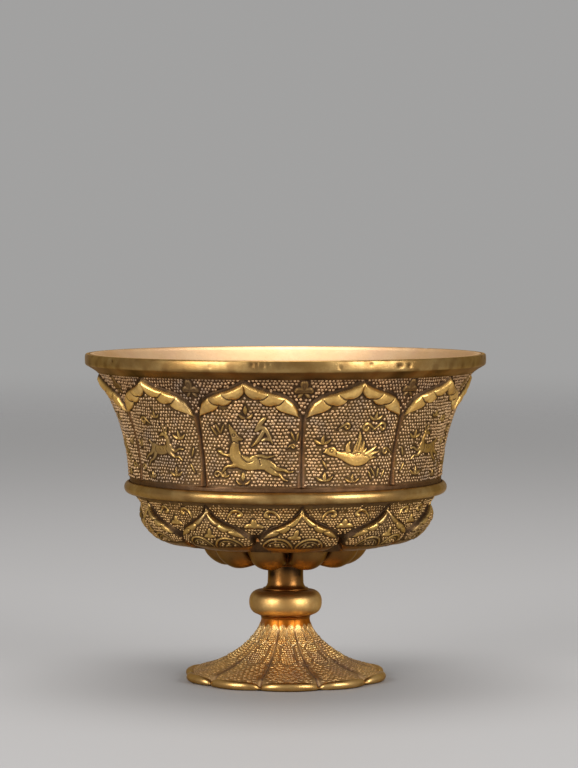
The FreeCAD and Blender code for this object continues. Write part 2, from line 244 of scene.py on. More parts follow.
def outline_distance(points, x, y):
    """How far each place is outside a closed outline, negative inside it."""
    loop = np.array(points, dtype=float)
    after = np.roll(loop, -1, axis=0)
    run = after - loop
    result = np.full(x.shape, 9.0)
    near = near_points(loop, 1.5, x, y)
    px, py = x[near][:, None], y[near][:, None]
    away = away_from_runs(loop, run, px, py)[0].min(axis=1)
    crosses = (loop[:, 1] > py) != (after[:, 1] > py)
    rise = np.where(np.abs(run[:, 1]) < 1e-9, 1e-9, run[:, 1])
    crosses &= px < loop[:, 0] + (py - loop[:, 1]) / rise * run[:, 0]
    inside = crosses.sum(axis=1) % 2 == 1
    result[near] = np.where(inside, -away, away)
    return result


def mirrored(chains):
    """The strokes turned left to right."""
    return [[(-x, y, half) for x, y, half in chain] for chain in chains]


def shifted(chains, across, up, scale=1.0):
    """The strokes moved and scaled."""
    moved = []
    for chain in chains:
        moved.append([(x * scale + across, y * scale + up, half * scale) for x, y, half in chain])
    return moved


def together(*groups):
    """The strokes of several motifs in one group."""
    return [chain for group in groups for chain in group]


def bent_outline(points):
    """A closed outline, mirrored left to right, through half of its points."""
    half = smooth_chain([(x, y, 1) for x, y in points], 3)[:, :2]
    other = half[::-1] * np.array([-1, 1])
    return np.vstack([half, other])


# Traditional motifs, drawn afresh: running animals, birds, clouds, sprigs and grass

def running_animal():
    """A plump animal that runs to the left with its head and ear up."""
    body = [
        [(-2.95, 50.4, 0.04), (-2.75, 49.6, 0.34), (-2.4, 48.8, 0.55), (-2.1, 48.2, 0.6)],
        [(-1.95, 49.2, 0.05), (-2.0, 48.7, 0.3), (-2.1, 48.3, 0.4)],
        [(-2.15, 48.1, 0.62), (-1.5, 47.75, 0.42), (-0.8, 47.6, 0.2)],
        [(-2.2, 47.8, 0.5), (-2.05, 47.0, 0.6), (-2.2, 46.1, 0.8)],
        [(-2.3, 45.8, 0.85), (-2.15, 44.5, 1.1), (-1.2, 43.5, 1.25), (0.3, 43.1, 1.25), (1.9, 43.1, 1.1),
         (3.5, 42.9, 0.95), (4.4, 42.5, 0.75)],
        [(4.0, 42.7, 0.75), (5.2, 42.1, 0.45), (6.4, 41.95, 0.26), (7.3, 41.5, 0.2), (8.1, 41.6, 0.1)],
        [(3.8, 42.3, 0.75), (4.8, 41.3, 0.42), (5.7, 41.0, 0.24), (6.3, 40.2, 0.2), (7.1, 39.9, 0.1)],
        [(1.0, 44.3, 0.3), (2.4, 44.6, 0.26), (3.6, 44.3, 0.22), (4.9, 44.6, 0.08)],
        [(-2.4, 45.2, 0.5), (-3.3, 44.6, 0.3), (-4.2, 44.7, 0.24), (-4.9, 45.1, 0.34), (-5.5, 45.3, 0.12)],
        [(-1.9, 43.0, 0.6), (-2.9, 42.6, 0.34), (-3.8, 42.5, 0.26), (-4.4, 41.9, 0.28), (-4.7, 41.4, 0.1)],
    ]
    lines = ring(-2.2, 48.4, 0.27) + [
        [(-1.55, 46.9, 0.06), (-2.1, 47.2, 0.08), (-2.7, 47.0, 0.06)],
        [(-1.1, 45.4, 0.07), (-0.9, 44.3, 0.09), (0.1, 43.4, 0.09), (1.0, 43.6, 0.07)],
        [(1.6, 44.5, 0.07), (2.2, 43.9, 0.09), (2.4, 43.0, 0.07)],
        [(4.2, 42.55, 0.06), (5.2, 41.75, 0.07)],
    ]
    return body, lines


def flying_bird():
    """A plump bird that flies to the left with both wings up."""
    body = [
        [(-5.5, 45.1, 0.05), (-4.8, 45.3, 0.26)],
        [(-4.6, 45.4, 0.6), (-4.0, 45.35, 0.82), (-3.7, 45.3, 0.7)],
        [(-3.8, 45.1, 0.6), (-2.6, 44.7, 0.55), (-1.3, 44.3, 0.85), (0.4, 43.8, 1.2), (2.0, 43.8, 1.1),
         (3.4, 44.3, 0.55)],
        [(2.8, 44.6, 0.5), (3.9, 45.4, 0.28), (4.9, 46.1, 0.06)],
        [(3.0, 44.3, 0.4), (4.4, 44.8, 0.26), (5.5, 45.1, 0.06)],
        [(3.0, 43.9, 0.4), (4.2, 44.0, 0.22), (5.0, 44.0, 0.06)],
        [(-0.7, 44.8, 0.45), (-0.95, 45.7, 0.5), (-0.95, 46.5, 0.34), (-0.7, 47.2, 0.05)],
        [(0.6, 44.6, 0.6), (0.8, 45.8, 0.62), (1.05, 46.9, 0.5), (1.15, 48.0, 0.3), (0.95, 49.0, 0.05)],
        [(1.3, 44.7, 0.5), (1.75, 45.6, 0.42), (2.0, 46.4, 0.24), (2.05, 47.1, 0.05)],
        [(1.7, 44.6, 0.4), (2.3, 45.2, 0.28), (2.7, 45.8, 0.05)],
    ]
    lines = ring(-4.1, 45.5, 0.3) + [
        [(-0.75, 46.6, 0.05), (-0.6, 45.7, 0.06)],
        [(1.45, 47.4, 0.05), (1.25, 46.4, 0.07), (1.15, 45.4, 0.07)],
        [(0.95, 47.7, 0.04), (0.7, 46.6, 0.06), (0.5, 45.6, 0.06)],
        [(-1.2, 44.9, 0.05), (-0.6, 45.1, 0.06), (0.1, 44.8, 0.06), (0.8, 45.05, 0.06), (1.6, 44.9, 0.05)],
        [(2.4, 44.5, 0.06), (3.2, 44.2, 0.07), (3.5, 43.9, 0.05)],
        [(-3.2, 45.2, 0.06), (-3.1, 44.7, 0.06)],
    ]
    return body, lines


def leaping_deer():
    """A small deer that leaps to the right and looks back."""
    body = [
        [(-2.2, 45.6, 0.7), (-0.8, 45.0, 0.85), (0.8, 45.1, 0.8), (2.2, 45.7, 0.75)],
        [(2.0, 45.9, 0.55), (2.1, 47.0, 0.42), (1.7, 48.0, 0.42)],
        [(1.9, 48.2, 0.38), (1.0, 48.1, 0.34), (0.2, 47.8, 0.14)],
        [(1.8, 48.4, 0.16), (2.4, 49.2, 0.12), (2.2, 50.0, 0.06)],
        [(1.6, 48.5, 0.14), (1.5, 49.3, 0.12), (1.0, 49.9, 0.06)],
        [(2.2, 45.4, 0.5), (3.4, 44.9, 0.26), (4.4, 45.4, 0.18), (5.3, 45.3, 0.13)],
        [(1.8, 44.9, 0.5), (3.0, 43.9, 0.25), (4.1, 43.9, 0.17), (4.8, 43.2, 0.13)],
        [(-2.2, 45.3, 0.6), (-3.4, 44.3, 0.32), (-4.4, 43.9, 0.2), (-5.6, 43.0, 0.14)],
        [(-1.6, 44.9, 0.55), (-2.7, 43.4, 0.28), (-3.9, 42.8, 0.18), (-4.6, 41.9, 0.13)],
        [(-2.7, 46.0, 0.24), (-3.3, 46.5, 0.18), (-3.6, 47.0, 0.08)],
    ]
    lines = [
        [(1.5, 48.35, 0.1), (1.65, 48.3, 0.1)],
        [(1.5, 46.0, 0.05), (1.3, 45.2, 0.06), (1.6, 44.6, 0.05)],
        [(-1.4, 45.8, 0.05), (-1.7, 45.1, 0.06), (-1.4, 44.5, 0.05)],
        [(-0.4, 45.4, 0.08), (-0.2, 45.2, 0.08)],
        [(0.4, 45.5, 0.08), (0.6, 45.3, 0.08)],
    ]
    return body, lines


def leafy_sprig(x, y, size):
    """An upright leaf between two that lean out."""
    leaf = [
        [(0, 0, 0.1), (0, 0.85, 0.32), (0.05, 1.8, 0.04)],
        [(-0.1, 0.1, 0.1), (-0.85, 0.35, 0.28), (-1.6, 0.95, 0.04)],
        [(0.1, 0.1, 0.1), (0.85, 0.4, 0.28), (1.5, 1.0, 0.04)],
    ]
    return shifted(leaf, x, y, size)


def tall_sprig(x, y):
    """A slim upright leaf that floats above two that lean out."""
    leaf = [
        [(0, 0.6, 0.05), (-0.05, 1.4, 0.36), (0.05, 2.3, 0.04)],
        [(-0.15, 0.0, 0.06), (-0.75, 0.15, 0.27), (-1.3, 0.8, 0.04)],
        [(0.1, 0.0, 0.06), (0.75, 0.2, 0.27), (1.3, 0.85, 0.04)],
    ]
    return shifted(leaf, x, y)


def cloud_trefoil(x, y):
    """A plump trefoil of three rolled lobes, as stands between two arches."""
    top = [[(0, 0.9, 0.5), (0, 1.7, 0.62), (0, 2.2, 0.3)]]
    side = [
        [(0.3, 0.7, 0.45), (1.1, 0.75, 0.5), (1.6, 0.5, 0.3)],
        [(0.5, 0.1, 0.12), (1.0, -0.3, 0.26), (1.5, -0.6, 0.08)],
    ]
    return shifted(top + side + mirrored(side), x, y)


def curled_scroll(x, y, size, side):
    """A tail that rolls up into a bulb, to one side."""
    curl = [
        [(-1.9, -0.6, 0.08), (-1.0, 0.1, 0.2), (-0.1, 0.75, 0.25), (0.75, 0.65, 0.26), (0.95, -0.1, 0.24),
         (0.35, -0.5, 0.26), (-0.05, -0.05, 0.3)],
    ]
    return shifted(curl if side > 0 else mirrored(curl), x, y, size)


def ribbon_cloud(x, y, size):
    """A crossed ribbon with a loop, as flying clouds are drawn."""
    ribbon = [
        [(-0.8, 0.6, 0.3), (-0.1, 1.5, 0.42), (0.65, 2.3, 0.3)],
        [(-1.0, 0.1, 0.3), (0.0, 0.65, 0.36), (0.7, 0.3, 0.32), (1.2, -0.9, 0.3), (1.8, -2.4, 0.1)],
        [(0.4, 0.1, 0.32), (-0.4, -1.2, 0.36), (-1.2, -2.2, 0.28), (-2.0, -2.9, 0.08)],
        [(0.0, -1.8, 0.22), (0.7, -1.5, 0.26), (1.3, -1.7, 0.2)],
    ]
    return shifted(ribbon, x, y, size)


def ring(x, y, size):
    """A small ring, as the eyes are punched."""
    turns = [math.radians(step * 60) for step in range(7)]
    return [[(x + size * math.cos(turn), y + size * math.sin(turn), 0.06) for turn in turns]]


def grass(x, y, lean):
    """One blade that leans over."""
    return [[(x, y, 0.07), (x + lean * 0.5, y + 0.9, 0.2), (x + lean, y + 1.7, 0.05)]]


def cloud_pair(x, y):
    """Two rolled clouds under a small trefoil."""
    return together(
        curled_scroll(x - 1.4, y, 0.95, -1), curled_scroll(x + 1.4, y, 0.95, 1),
        leafy_sprig(x, y + 1.4, 0.9),
    )


def animal_panel():
    """The panel left of the front: a running animal under a ribbon cloud."""
    body, lines = running_animal()
    growth = together(
        ribbon_cloud(2.4, 49.2, 1.0), tall_sprig(-0.2, 51.6), tall_sprig(-1.3, 39.2),
        grass(-6.0, 48.2, -1.1), grass(-5.3, 48.6, -0.8), grass(-5.2, 48.6, 0.7),
        grass(8.1, 47.4, -0.6), grass(8.5, 47.2, 0.5), curled_scroll(7.6, 46.2, 0.5, 1),
        curled_scroll(-6.0, 40.9, 0.75, -1), leafy_sprig(-4.7, 40.4, 0.65),
    )
    return shifted(body, -0.5, 0) + growth, shifted(lines, -0.5, 0)


def bird_panel():
    """The panel right of the front: a flying bird among clouds and leaves."""
    body, lines = flying_bird()
    growth = together(
        cloud_pair(3.9, 49.6), curled_scroll(7.2, 45.0, 0.8, -1), curled_scroll(-1.9, 49.9, 0.75, 1),
        leafy_sprig(-5.8, 46.6, 1.0), leafy_sprig(-5.0, 39.7, 1.0), leafy_sprig(0.2, 39.4, 0.95),
        grass(-4.6, 42.0, -1.0), grass(4.2, 39.8, -0.8), grass(4.9, 40.4, -1.0),
        grass(5.3, 40.3, 0.3), grass(6.3, 40.0, 0.7),
    )
    return body + growth, lines


def deer_panel():
    """A leaping deer between sprigs and clouds."""
    body, lines = leaping_deer()
    growth = together(
        curled_scroll(-3.4, 50.4, 0.85, -1), curled_scroll(-6.9, 41.4, 0.7, 1),
        leafy_sprig(4.9, 47.2, 0.95), leafy_sprig(3.1, 40.2, 1.0), leafy_sprig(-3.6, 39.5, 0.8),
        leafy_sprig(0.2, 51.1, 0.8),
        grass(-7.2, 45.2, -0.7), grass(-6.6, 45.3, 0.4), grass(7.3, 41.0, -0.8), grass(7.0, 44.0, 0.7),
    )
    return body + growth, lines


def turned_over(design):
    """A panel design turned left to right."""
    raised, lines = design
    return mirrored(raised), mirrored(lines)


# The ten panels, from the one right of the front on around the cup
panel_designs = [
    bird_panel(), turned_over(deer_panel()), turned_over(animal_panel()), deer_panel(), bird_panel(),
    animal_panel(), turned_over(bird_panel()), turned_over(deer_panel()), deer_panel(), animal_panel(),
]

# One half of the arch, from its point down to the belt
arch_points = [
    (0, 58.25), (0.9, 57.7), (2.3, 57.05), (4.0, 56.4), (6.0, 55.85), (7.5, 55.25), (8.7, 54.2),
    (9.3, 52.6), (9.45, 50.0), (9.0, 44.0), (8.68, 38.0), (8.66, 34.0),
]
# One half of the hood: along the arch, then back up its three scallops
hood_points = [
    (0, 58.1), (0.9, 57.6), (2.3, 56.95), (4.0, 56.35), (6.0, 55.75), (7.4, 55.15), (8.5, 54.2),
    (9.1, 52.9), (9.35, 51.3), (8.8, 51.75), (8.0, 52.1), (7.0, 52.45), (6.1, 52.8), (5.4, 53.3),
    (5.05, 53.95), (4.5, 53.8), (3.8, 53.85), (3.1, 54.15), (2.6, 54.6), (2.4, 55.05), (1.6, 55.1),
    (0.9, 55.4), (0.35, 55.9), (0, 56.45),
]
hood_cuts = [
    [(0, 56.5, 0.1), (0, 56.9, 0.04)],
    [(2.35, 55.05, 0.12), (3.1, 55.2, 0.1), (3.8, 55.6, 0.07), (4.3, 56.0, 0.03)],
    [(4.95, 53.9, 0.12), (5.9, 54.2, 0.1), (6.6, 54.7, 0.07), (7.0, 55.1, 0.03)],
]

# The wall's relief: heights above its ground, where its parts begin and end, and the sizes of its dots
panel_rise, panel_crown = 0.25, 0.45
hood_rise, hood_pillow = 0.26, 0.2
figure_rise, figure_pillow = 0.2, 0.08
belt_rise, belt_top = 0.62, 38.7
arch_spring = 52.3
wall_bottom, wall_top = bead_middle + 0.4, 60.2
wall_dots_bottom, wall_dots_top = 39.1, 59.0
wall_dots_reach, wall_dot_pitch, wall_row_pitch = 11.9, 0.68, 0.6
wall_dot_radius, wall_dot_height = 0.295, 0.22


def wall_radius(z):
    """The radius of the ground between the raised panels."""
    return flare_centre - np.sqrt(flare_bend ** 2 - np.clip(z - bead_top, 0, None) ** 2)


def placed_on_wall(turn, x, z, lift):
    """Places of unrolled points on the flared wall, lifted off its ground."""
    lean = np.clip(z - bead_top, 0, None) / flare_bend
    radius = wall_radius(z)
    angle = front + turn + x / radius
    return around_axis(radius + lift * np.sqrt(1 - lean ** 2), angle, z - lift * lean)


def raised_panel(arch):
    """1 on the panel inside the arch and 0 outside it."""
    return ease(-arch, -0.3, 0.35)


def arched_ground(x, z):
    """The arch alone: its raised panel with worn borders, and the darkened grooves beside it."""
    half = lobe_step / 2 * wall_radius(z)
    past_groove = np.abs(x) - half
    arch = outline_distance(bent_outline(arch_points), x, z)
    sides = 1 - ease(z, arch_spring - 1, arch_spring)
    worn = 0.7 + 0.3 * np.sin(1.1 * z + 2 * np.sin(0.6 * z + x))
    border = ridge(arch + 0.12, 0.24) * sides * worn
    groove = ridge(past_groove, 0.13) * sides * (0.75 + 0.25 * np.sin(z * 0.9 + x))
    # A painted shadow lies along the outside of the arch's edge, mostly around its top, uneven along it and
    # tinted copper
    arch_edge_shadow = ridge(arch - 0.16, 0.26) * (1 - 0.8 * sides) * (0.75 + 0.25 * np.sin(1.9 * x + z))
    crown = panel_rise + panel_crown * (1 - np.clip(np.abs(x) / half, 0, 1) ** 2)
    height = raised_panel(arch) * crown - 0.12 * ridge(arch - 0.2, 0.2) * (1 - 0.8 * sides)
    height += 0.12 * border
    height = height * (1 - 0.35 * sides * ridge(past_groove + 0.5, 0.7)) - 0.05 * groove
    dirt_and_shade = np.maximum(0.8 * arch_edge_shadow, groove * 0.9) + 0.15 * sides * (1 - worn) * ridge(arch, 0.5)
    rouge = 0.85 * ridge(arch, 0.5) * sides + ridge(past_groove, 0.3) * sides + 0.6 * arch_edge_shadow
    spandrel = ease(arch, 0.0, 0.5) * (1 - sides)
    rouge = np.maximum(np.clip(rouge, 0, 1), 0.9 * spandrel)
    return arch, sides, border, (height, border * 0.6, dirt_and_shade, rouge)


def with_hood(x, z, arch, finish):
    """The distance outside the scalloped hood, and the wall's finish with the hood laid on."""
    height, polish, dirt_and_shade, rouge = finish
    hood = outline_distance(hood_points, np.abs(x), z)
    cuts = strokes_distance(hood_cuts, np.abs(x), z)
    height = height + hood_rise * ease(-hood, -0.06, 0.28) + hood_pillow * ease(-hood, 0.0, 1.1)
    height += 0.1 * ease(-hood, 0, 0.4) * ease(cuts, 0, 0.9)
    height -= 0.1 * ridge(hood - 0.08, 0.08) * raised_panel(arch) + 0.1 * ease(-cuts, -0.14, 0.02)
    dirt_and_shade = np.maximum(dirt_and_shade, 0.95 * ridge(hood - 0.05, 0.12) * ease(-arch, 0.0, 0.3))
    dirt_and_shade = np.maximum(dirt_and_shade, 0.9 * ease(-cuts, -0.07, 0.02))
    polish = np.maximum(polish, ease(-hood, -0.02, 0.12)) * (1 - 0.6 * ease(-cuts, -0.07, 0.02))
    return hood, (height, polish, dirt_and_shade, rouge)


def with_figures(x, z, design, finish):
    """The distance outside the raised figures, and the wall's finish with them and their cut lines."""
    height, polish, dirt_and_shade, rouge = finish
    raised, lines = design
    cloud = strokes_distance(cloud_trefoil(-10.8, 55.7) + cloud_trefoil(10.8, 55.7), x, z)
    motif = np.minimum(strokes_distance(raised, x, z), cloud)
    cut = strokes_distance(lines, x, z)
    rolled = ease(-cloud, -0.1, 0.1)
    rouge = np.where(cloud < 0, 0.75 - 0.4 * ridge(cloud + 0.12, 0.12), rouge)
    dirt_and_shade = np.maximum(dirt_and_shade * (1 - rolled), (0.35 + 0.4 * ridge(cloud + 0.4, 0.09)) * rolled)
    height = height + figure_rise * ease(-motif, -0.07, 0.16) + figure_pillow * ease(-motif, 0.1, 0.9)
    height -= 0.07 * ridge(motif - 0.16, 0.12) + 0.1 * ease(-cut, -0.08, 0.04)
    polish = np.maximum(polish, ease(-motif, -0.03, 0.08)) * (1 - 0.7 * ease(-cut, -0.08, 0.03))
    around = np.maximum(dirt_and_shade, ridge(motif - 0.14, 0.12)) * (1 - 0.9 * ease(-motif, -0.02, 0.05))
    dirt_and_shade = np.where(cloud < 0.05, dirt_and_shade, around)
    dirt_and_shade = np.maximum(dirt_and_shade, 0.85 * ease(-cut, -0.06, 0.03))
    return motif, (height, polish, dirt_and_shade, rouge)


def with_belt(z, border, finish):
    """The wall's finish with the plain belt above the bead, and with dirt on the ground."""
    height, polish, dirt_and_shade, rouge = finish
    belt = 1 - ease(z, belt_top - 0.35, belt_top)
    height = height * (1 - belt) + belt_rise * belt
    polish = polish * (1 - belt) + 0.6 * belt
    rouge = np.clip(rouge + 0.9 * belt + 0.7 * (1 - ease(z, belt_top, belt_top + 2.3)), 0, 1)
    ground = (1 - polish) * (1 - belt)
    dirt_and_shade = np.clip(dirt_and_shade + 0.8 * ground * (1 - 0.5 * border), 0, 1) * (1 - 0.7 * belt) + 0.72 * belt
    return height, polish, dirt_and_shade, rouge


def wall_relief(x, z, design):
    """Height and finish of the chased wall, and the distance to what dots keep clear of."""
    arch, sides, border, finish = arched_ground(x, z)
    hood, finish = with_hood(x, z, arch, finish)
    motif, finish = with_figures(x, z, design, finish)
    clear = np.minimum(motif, hood) - 0.06
    clear = np.minimum(clear, np.where(arch < 0, -arch - 0.12 * sides, arch - 0.05 - 0.3 * sides))
    clear = np.minimum(clear, np.minimum(z - belt_top - 0.1, wall_dots_top - 0.2 - z))
    return (*with_belt(z, border, finish), clear)


def bead_shape(sides):
    """The top half of a small ball, open below, that punched dots are copies of."""
    bm = bmesh.new()
    bmesh.ops.create_uvsphere(bm, u_segments=sides, v_segments=6, radius=1)
    cut = bm.verts[:] + bm.edges[:] + bm.faces[:]
    bmesh.ops.bisect_plane(bm, geom=cut, plane_co=(0, 0, -0.05), plane_no=(0, 0, 1), clear_inner=True)
    return mesh_from("dot", bm)


def scattered(name, spots, shape):
    """Copies of a small shape on a flat sheet, each spot being x, y, width, length, height and turn."""
    bm = bmesh.new()
    for x, y, width, length, height, turn in spots:
        place = Matrix.Translation((x, y, 0)) @ Matrix.Rotation(turn, 4, "Z")
        place = place @ Matrix.Diagonal((width, length, height, 1))
        shape.transform(place)
        bm.from_mesh(shape)
        shape.transform(place.inverted())
    return mesh_from(name, bm)


def dotted_rows(low, high, reach, pitch, row_pitch, seed):
    """Places in level rows that a ring punch would fill, a little uneven."""
    pick = np.random.default_rng(seed)
    spots = []
    rows = int((high - low) / row_pitch)
    for row in range(rows):
        y = low + row * row_pitch
        across = np.arange(-reach, reach, pitch) + (row % 2) * pitch / 2
        wave = 0.06 * np.sin(across * 0.8 + row * 0.5)
        spots.append(np.stack([across, np.full(across.shape, y) + wave], axis=1))
    spots = np.vstack(spots)
    return spots + pick.normal(0, pitch * 0.07, spots.shape)


def chased_dots(name, spots, clear, dot_radius, dot_height, seed):
    """The dots that keep clear of the motifs, as one flat mesh, and the shade of each point."""
    pick = np.random.default_rng(seed)
    spots = spots[clear > dot_radius * 0.7]
    sizes = pick.uniform(0.85, 1.1, len(spots))
    rows = []
    for (x, y), size in zip(spots, sizes):
        width, length = dot_radius * size, dot_radius * size * pick.uniform(0.86, 1.05)
        rows.append((x, y, width, length, dot_height * pick.uniform(0.85, 1.1), pick.uniform(-0.3, 0.3)))
    shape = bead_shape(8)
    mesh = scattered(name, rows, shape)
    x, y = spots[:, 0], spots[:, 1]
    stained = 0.5 + 0.3 * np.sin(0.5 * x + seed) + 0.2 * np.sin(0.45 * y - 0.3 * x)
    shades = np.repeat(0.5 * pick.uniform(0, 1, len(rows)) + 0.5 * stained, len(shape.vertices))
    bpy.data.meshes.remove(shape)
    return mesh, shades


# How bright the dots of each panel are, 1 being the middling shade: the dark panels at the sides and the
# bright one left of the front are painted shade and painted light, the others differ in tone
panel_dot_tone_and_shade = [0.85, 0.45, 0.8, 0.95, 0.7, 0.8, 0.9, 0.75, 0.6, 1.25]
# The panel right of the front, whose bird is rubbed paler than the other figures
rubbed_panel = 0


def wall_panel(index):
    """One tenth of the flared wall between two grooves, with its arch, hood and figures."""
    turn = panel_turn + index * lobe_step
    design = panel_designs[index]
    mesh = grid_mesh(f"wall_panel_{index}", 168, 184)
    across, up, _ = places(mesh).T
    z = wall_bottom + (up + 1) / 2 * (wall_top - wall_bottom)
    x = across * lobe_step / 2 * wall_radius(z)
    height, polish, dirt_and_shade, rouge, _ = wall_relief(x, z, design)
    height = height + 0.03 * uneven(x * 0.8, z, 40 + index, 5)
    move_points(mesh, placed_on_wall(turn, x, z, height))
    # The raised hood gets a higher shade than the ground, a painted highlight that makes it brighter
    shade = 0.15 + 0.85 * ease(-outline_distance(hood_points, np.abs(x), z), -0.1, 0.1)
    if index == rubbed_panel:
        rubbed = ease(-strokes_distance(flying_bird()[0], x, z), -0.1, 0.1)
        shade = np.maximum(shade, rubbed)
        rouge = rouge * (1 - rubbed)
    finish_numbers(mesh, polish, dirt_and_shade, rouge, shade)
    finished(mesh, chased_gilt, "gilt_chased", "outer_bowl")
    wall_dots(index, turn, design)


def punched_ground(name, seed, spots, relief, placed, dot_radius, dot_height, tone_and_shade, material):
    """The punched dots wherever the relief leaves its ground clear."""
    clear = relief(*spots.T)[-1]
    dots, shades = chased_dots(name, spots, clear, dot_radius, dot_height, seed)
    x, y, rise = places(dots).T
    base, _, _, rouge, _ = relief(x, y)
    move_points(dots, placed(x, y, base + rise))
    # Each panel's dots are scaled in shade, partly as painted shade and painted light
    dot_numbers(dots, rise / dot_height, rouge, shades * tone_and_shade)
    return finished(dots, material, "gilt_chased", "outer_bowl")


def wall_dots(index, turn, design):
    """The dots of one wall panel."""
    spots = dotted_rows(
        wall_dots_bottom, wall_dots_top, wall_dots_reach, wall_dot_pitch, wall_row_pitch, 100 + index,
    )
    spots = spots[np.abs(spots[:, 0]) < lobe_step / 2 * wall_radius(spots[:, 1]) - 0.1]
    punched_ground(
        f"wall_dots_{index}", 200 + index, spots, lambda x, z: wall_relief(x, z, design),
        lambda x, z, lift: placed_on_wall(turn, x, z, lift),
        wall_dot_radius, wall_dot_height, panel_dot_tone_and_shade[index], dot_gilt,
    )


# Lower register: lotus petals, on a run that is counted down from the bead

# One half of a petal, from its point down
petal_points = [
    (0, 0.9), (0.45, 1.75), (1.3, 2.7), (2.6, 3.7), (4.0, 4.5), (5.5, 5.25), (6.7, 6.2), (7.35, 7.4),
    (7.5, 8.7), (7.15, 10.1), (6.3, 11.6), (5.2, 13.2), (4.6, 15.5), (4.5, 19.0),
]
# One half of the three leaves along a petal's edge: down the edge, then back along their free sides
petal_hood_points = [
    (0, 1.15), (0.4, 1.95), (1.2, 2.83), (2.5, 3.83), (3.9, 4.6), (5.3, 5.35), (6.25, 6.15), (6.9, 7.2),
    (6.0, 6.95), (5.15, 6.65), (4.45, 6.2), (4.0, 5.6), (3.55, 5.8), (2.95, 5.55), (2.4, 5.05),
    (2.15, 4.4), (1.7, 4.4), (1.15, 4.0), (0.7, 3.45), (0.3, 2.85), (0, 2.3),
]
petal_hood_cuts = [
    [(4.0, 5.6, 0.08), (4.6, 5.4, 0.07), (5.2, 5.45, 0.05), (5.6, 5.65, 0.03)],
    [(2.15, 4.4, 0.08), (2.75, 4.2, 0.07), (3.3, 4.35, 0.05), (3.7, 4.55, 0.03)],
    [(0, 2.3, 0.08), (0, 1.7, 0.04)],
]

# How far each petal, and then the figures inside it, sit to one side by the chaser's eye
petal_lean = [0.3, 0.35, -0.3, 0.2, -0.2, 0.3, -0.1, -0.3, 0.2, -0.45]
inner_lean = [-1.3, 0.5, -0.4, 0.6, -0.7, 0.2, 0.8, -0.5, -0.9, 0.2]

petal_rise, petal_crown, petal_figure_rise = 0.55, 0.5, 0.18
petal_run_start, petal_run_end = -0.7, 20.3
petal_dots_start, petal_dots_end = 0.55, 10.2
petal_dots_reach, petal_dot_pitch, petal_row_pitch = 9.7, 0.62, 0.54
petal_dot_radius, petal_dot_height = 0.265, 0.2


def petal_strokes(lean):
    """The heart and the volutes inside a petal, which lean to one side."""
    volute = [
        [(0.25, 9.9, 0.12), (0.5, 8.9, 0.18), (1.5, 7.6, 0.21), (2.9, 7.15, 0.22), (4.3, 7.5, 0.21),
         (5.2, 8.6, 0.18), (5.35, 9.9, 0.12)],
        [(1.05, 9.8, 0.06), (1.3, 8.9, 0.1), (2.0, 8.2, 0.12), (2.9, 7.95, 0.13), (3.8, 8.2, 0.12),
         (4.5, 8.9, 0.1), (4.7, 9.8, 0.06)],
        [(2.3, 9.5, 0.1), (2.8, 9.1, 0.2), (3.4, 9.4, 0.1)],
    ]
    heart = [
        [(0, 7.0, 0.3), (0.15, 6.2, 0.42), (0.3, 5.6, 0.42), (0.35, 5.1, 0.1)],
        [(0, 6.7, 0.4), (-0.55, 6.75, 0.42), (-1.0, 6.85, 0.25)],
        [(0, 6.7, 0.4), (0.55, 6.75, 0.4), (0.95, 6.8, 0.25)],
    ]
    return shifted(volute + mirrored(volute) + heart, lean, 0)


def valley_strokes():
    """The two scrolls and the low trefoil above each valley, drawn for one half of a petal's sector."""
    half = [
        [(4.0, 3.6, 0.06), (4.3, 2.65, 0.22), (5.0, 1.85, 0.27), (5.9, 1.55, 0.28), (6.6, 1.85, 0.3),
         (6.7, 2.4, 0.36), (6.25, 2.6, 0.4)],
        [(8.9, 5.0, 0.6), (8.85, 4.2, 0.62), (8.8, 3.6, 0.34)],
        [(8.8, 5.0, 0.5), (7.9, 4.85, 0.52), (7.2, 5.1, 0.28)],
    ]
    return half + mirrored(half)


def belly_turned(run):
    """How far the belly has turned under, as an angle, at a run down from the bead."""
    return np.clip((run - shoulder_run) / crest_bend, 0, math.pi / 2)


def crest_radius(run):
    """The radius of the petals' crests, which unrolls the lower register."""
    round_part = belly_centre_radius + crest_bend * np.cos(belly_turned(run))
    return round_part + 0.75 * (1 - np.clip(run / shoulder_run, -1, 1))


def placed_on_belly(turn, x, run, lift):
    """Places of unrolled points on the belly's ground, lifted off it."""
    under = belly_turned(run)
    above = np.clip(1 - run / shoulder_run, 0, None)
    beyond = np.clip(run - shoulder_run - belly_run, 0, None)
    bend = ground_bend + lift
    radius = belly_centre_radius + bend * np.cos(under) + 1.4 * above - beyond
    z = belly_centre_z - bend * np.sin(under) + 1.85 * above
    return around_axis(radius, front + turn + x / crest_radius(run), z)


def petal_ground(x, run, half, across):
    """The distance outside the petal, the painted shadow under its edge, the low valley, and height and
    darkening by dirt and painted shade.
    """
    petal = outline_distance(bent_outline(petal_points), x, run)
    crown = petal_rise + petal_crown * (1 - across ** 2) * ease(run, 1.0, 5.0)
    crown = crown - 0.25 * (1 - ease(run, 1.0, 3.0))
    height = ease(-petal, -0.15, 0.3) * crown
    deep = ease(run, 5.5, 8.5)
    sunk = ease(petal, 0.0, 0.5) * ease(run, 2.5, 5.5) * ridge(half - np.abs(x), 1.6)
    height -= (0.2 + 0.35 * deep) * sunk
    height -= 0.12 * ridge(petal - 0.22, 0.2)
    under = ridge(petal - 0.08, 0.26) * (petal > -0.15)
    low_valley = ridge(half - np.abs(x), 0.9) * ease(run, 8.5, 10.5)
    height -= 0.45 * low_valley
    # The dark under the petal's edge and down the deep valley between petals is painted shadow, as is the
    # dark of the low valley
    dirt_and_shade = np.maximum(under * 0.66, 0.85 * deep * ease(petal, -0.05, 0.5))
    return petal, under, low_valley, height, np.maximum(dirt_and_shade, low_valley * 0.7)


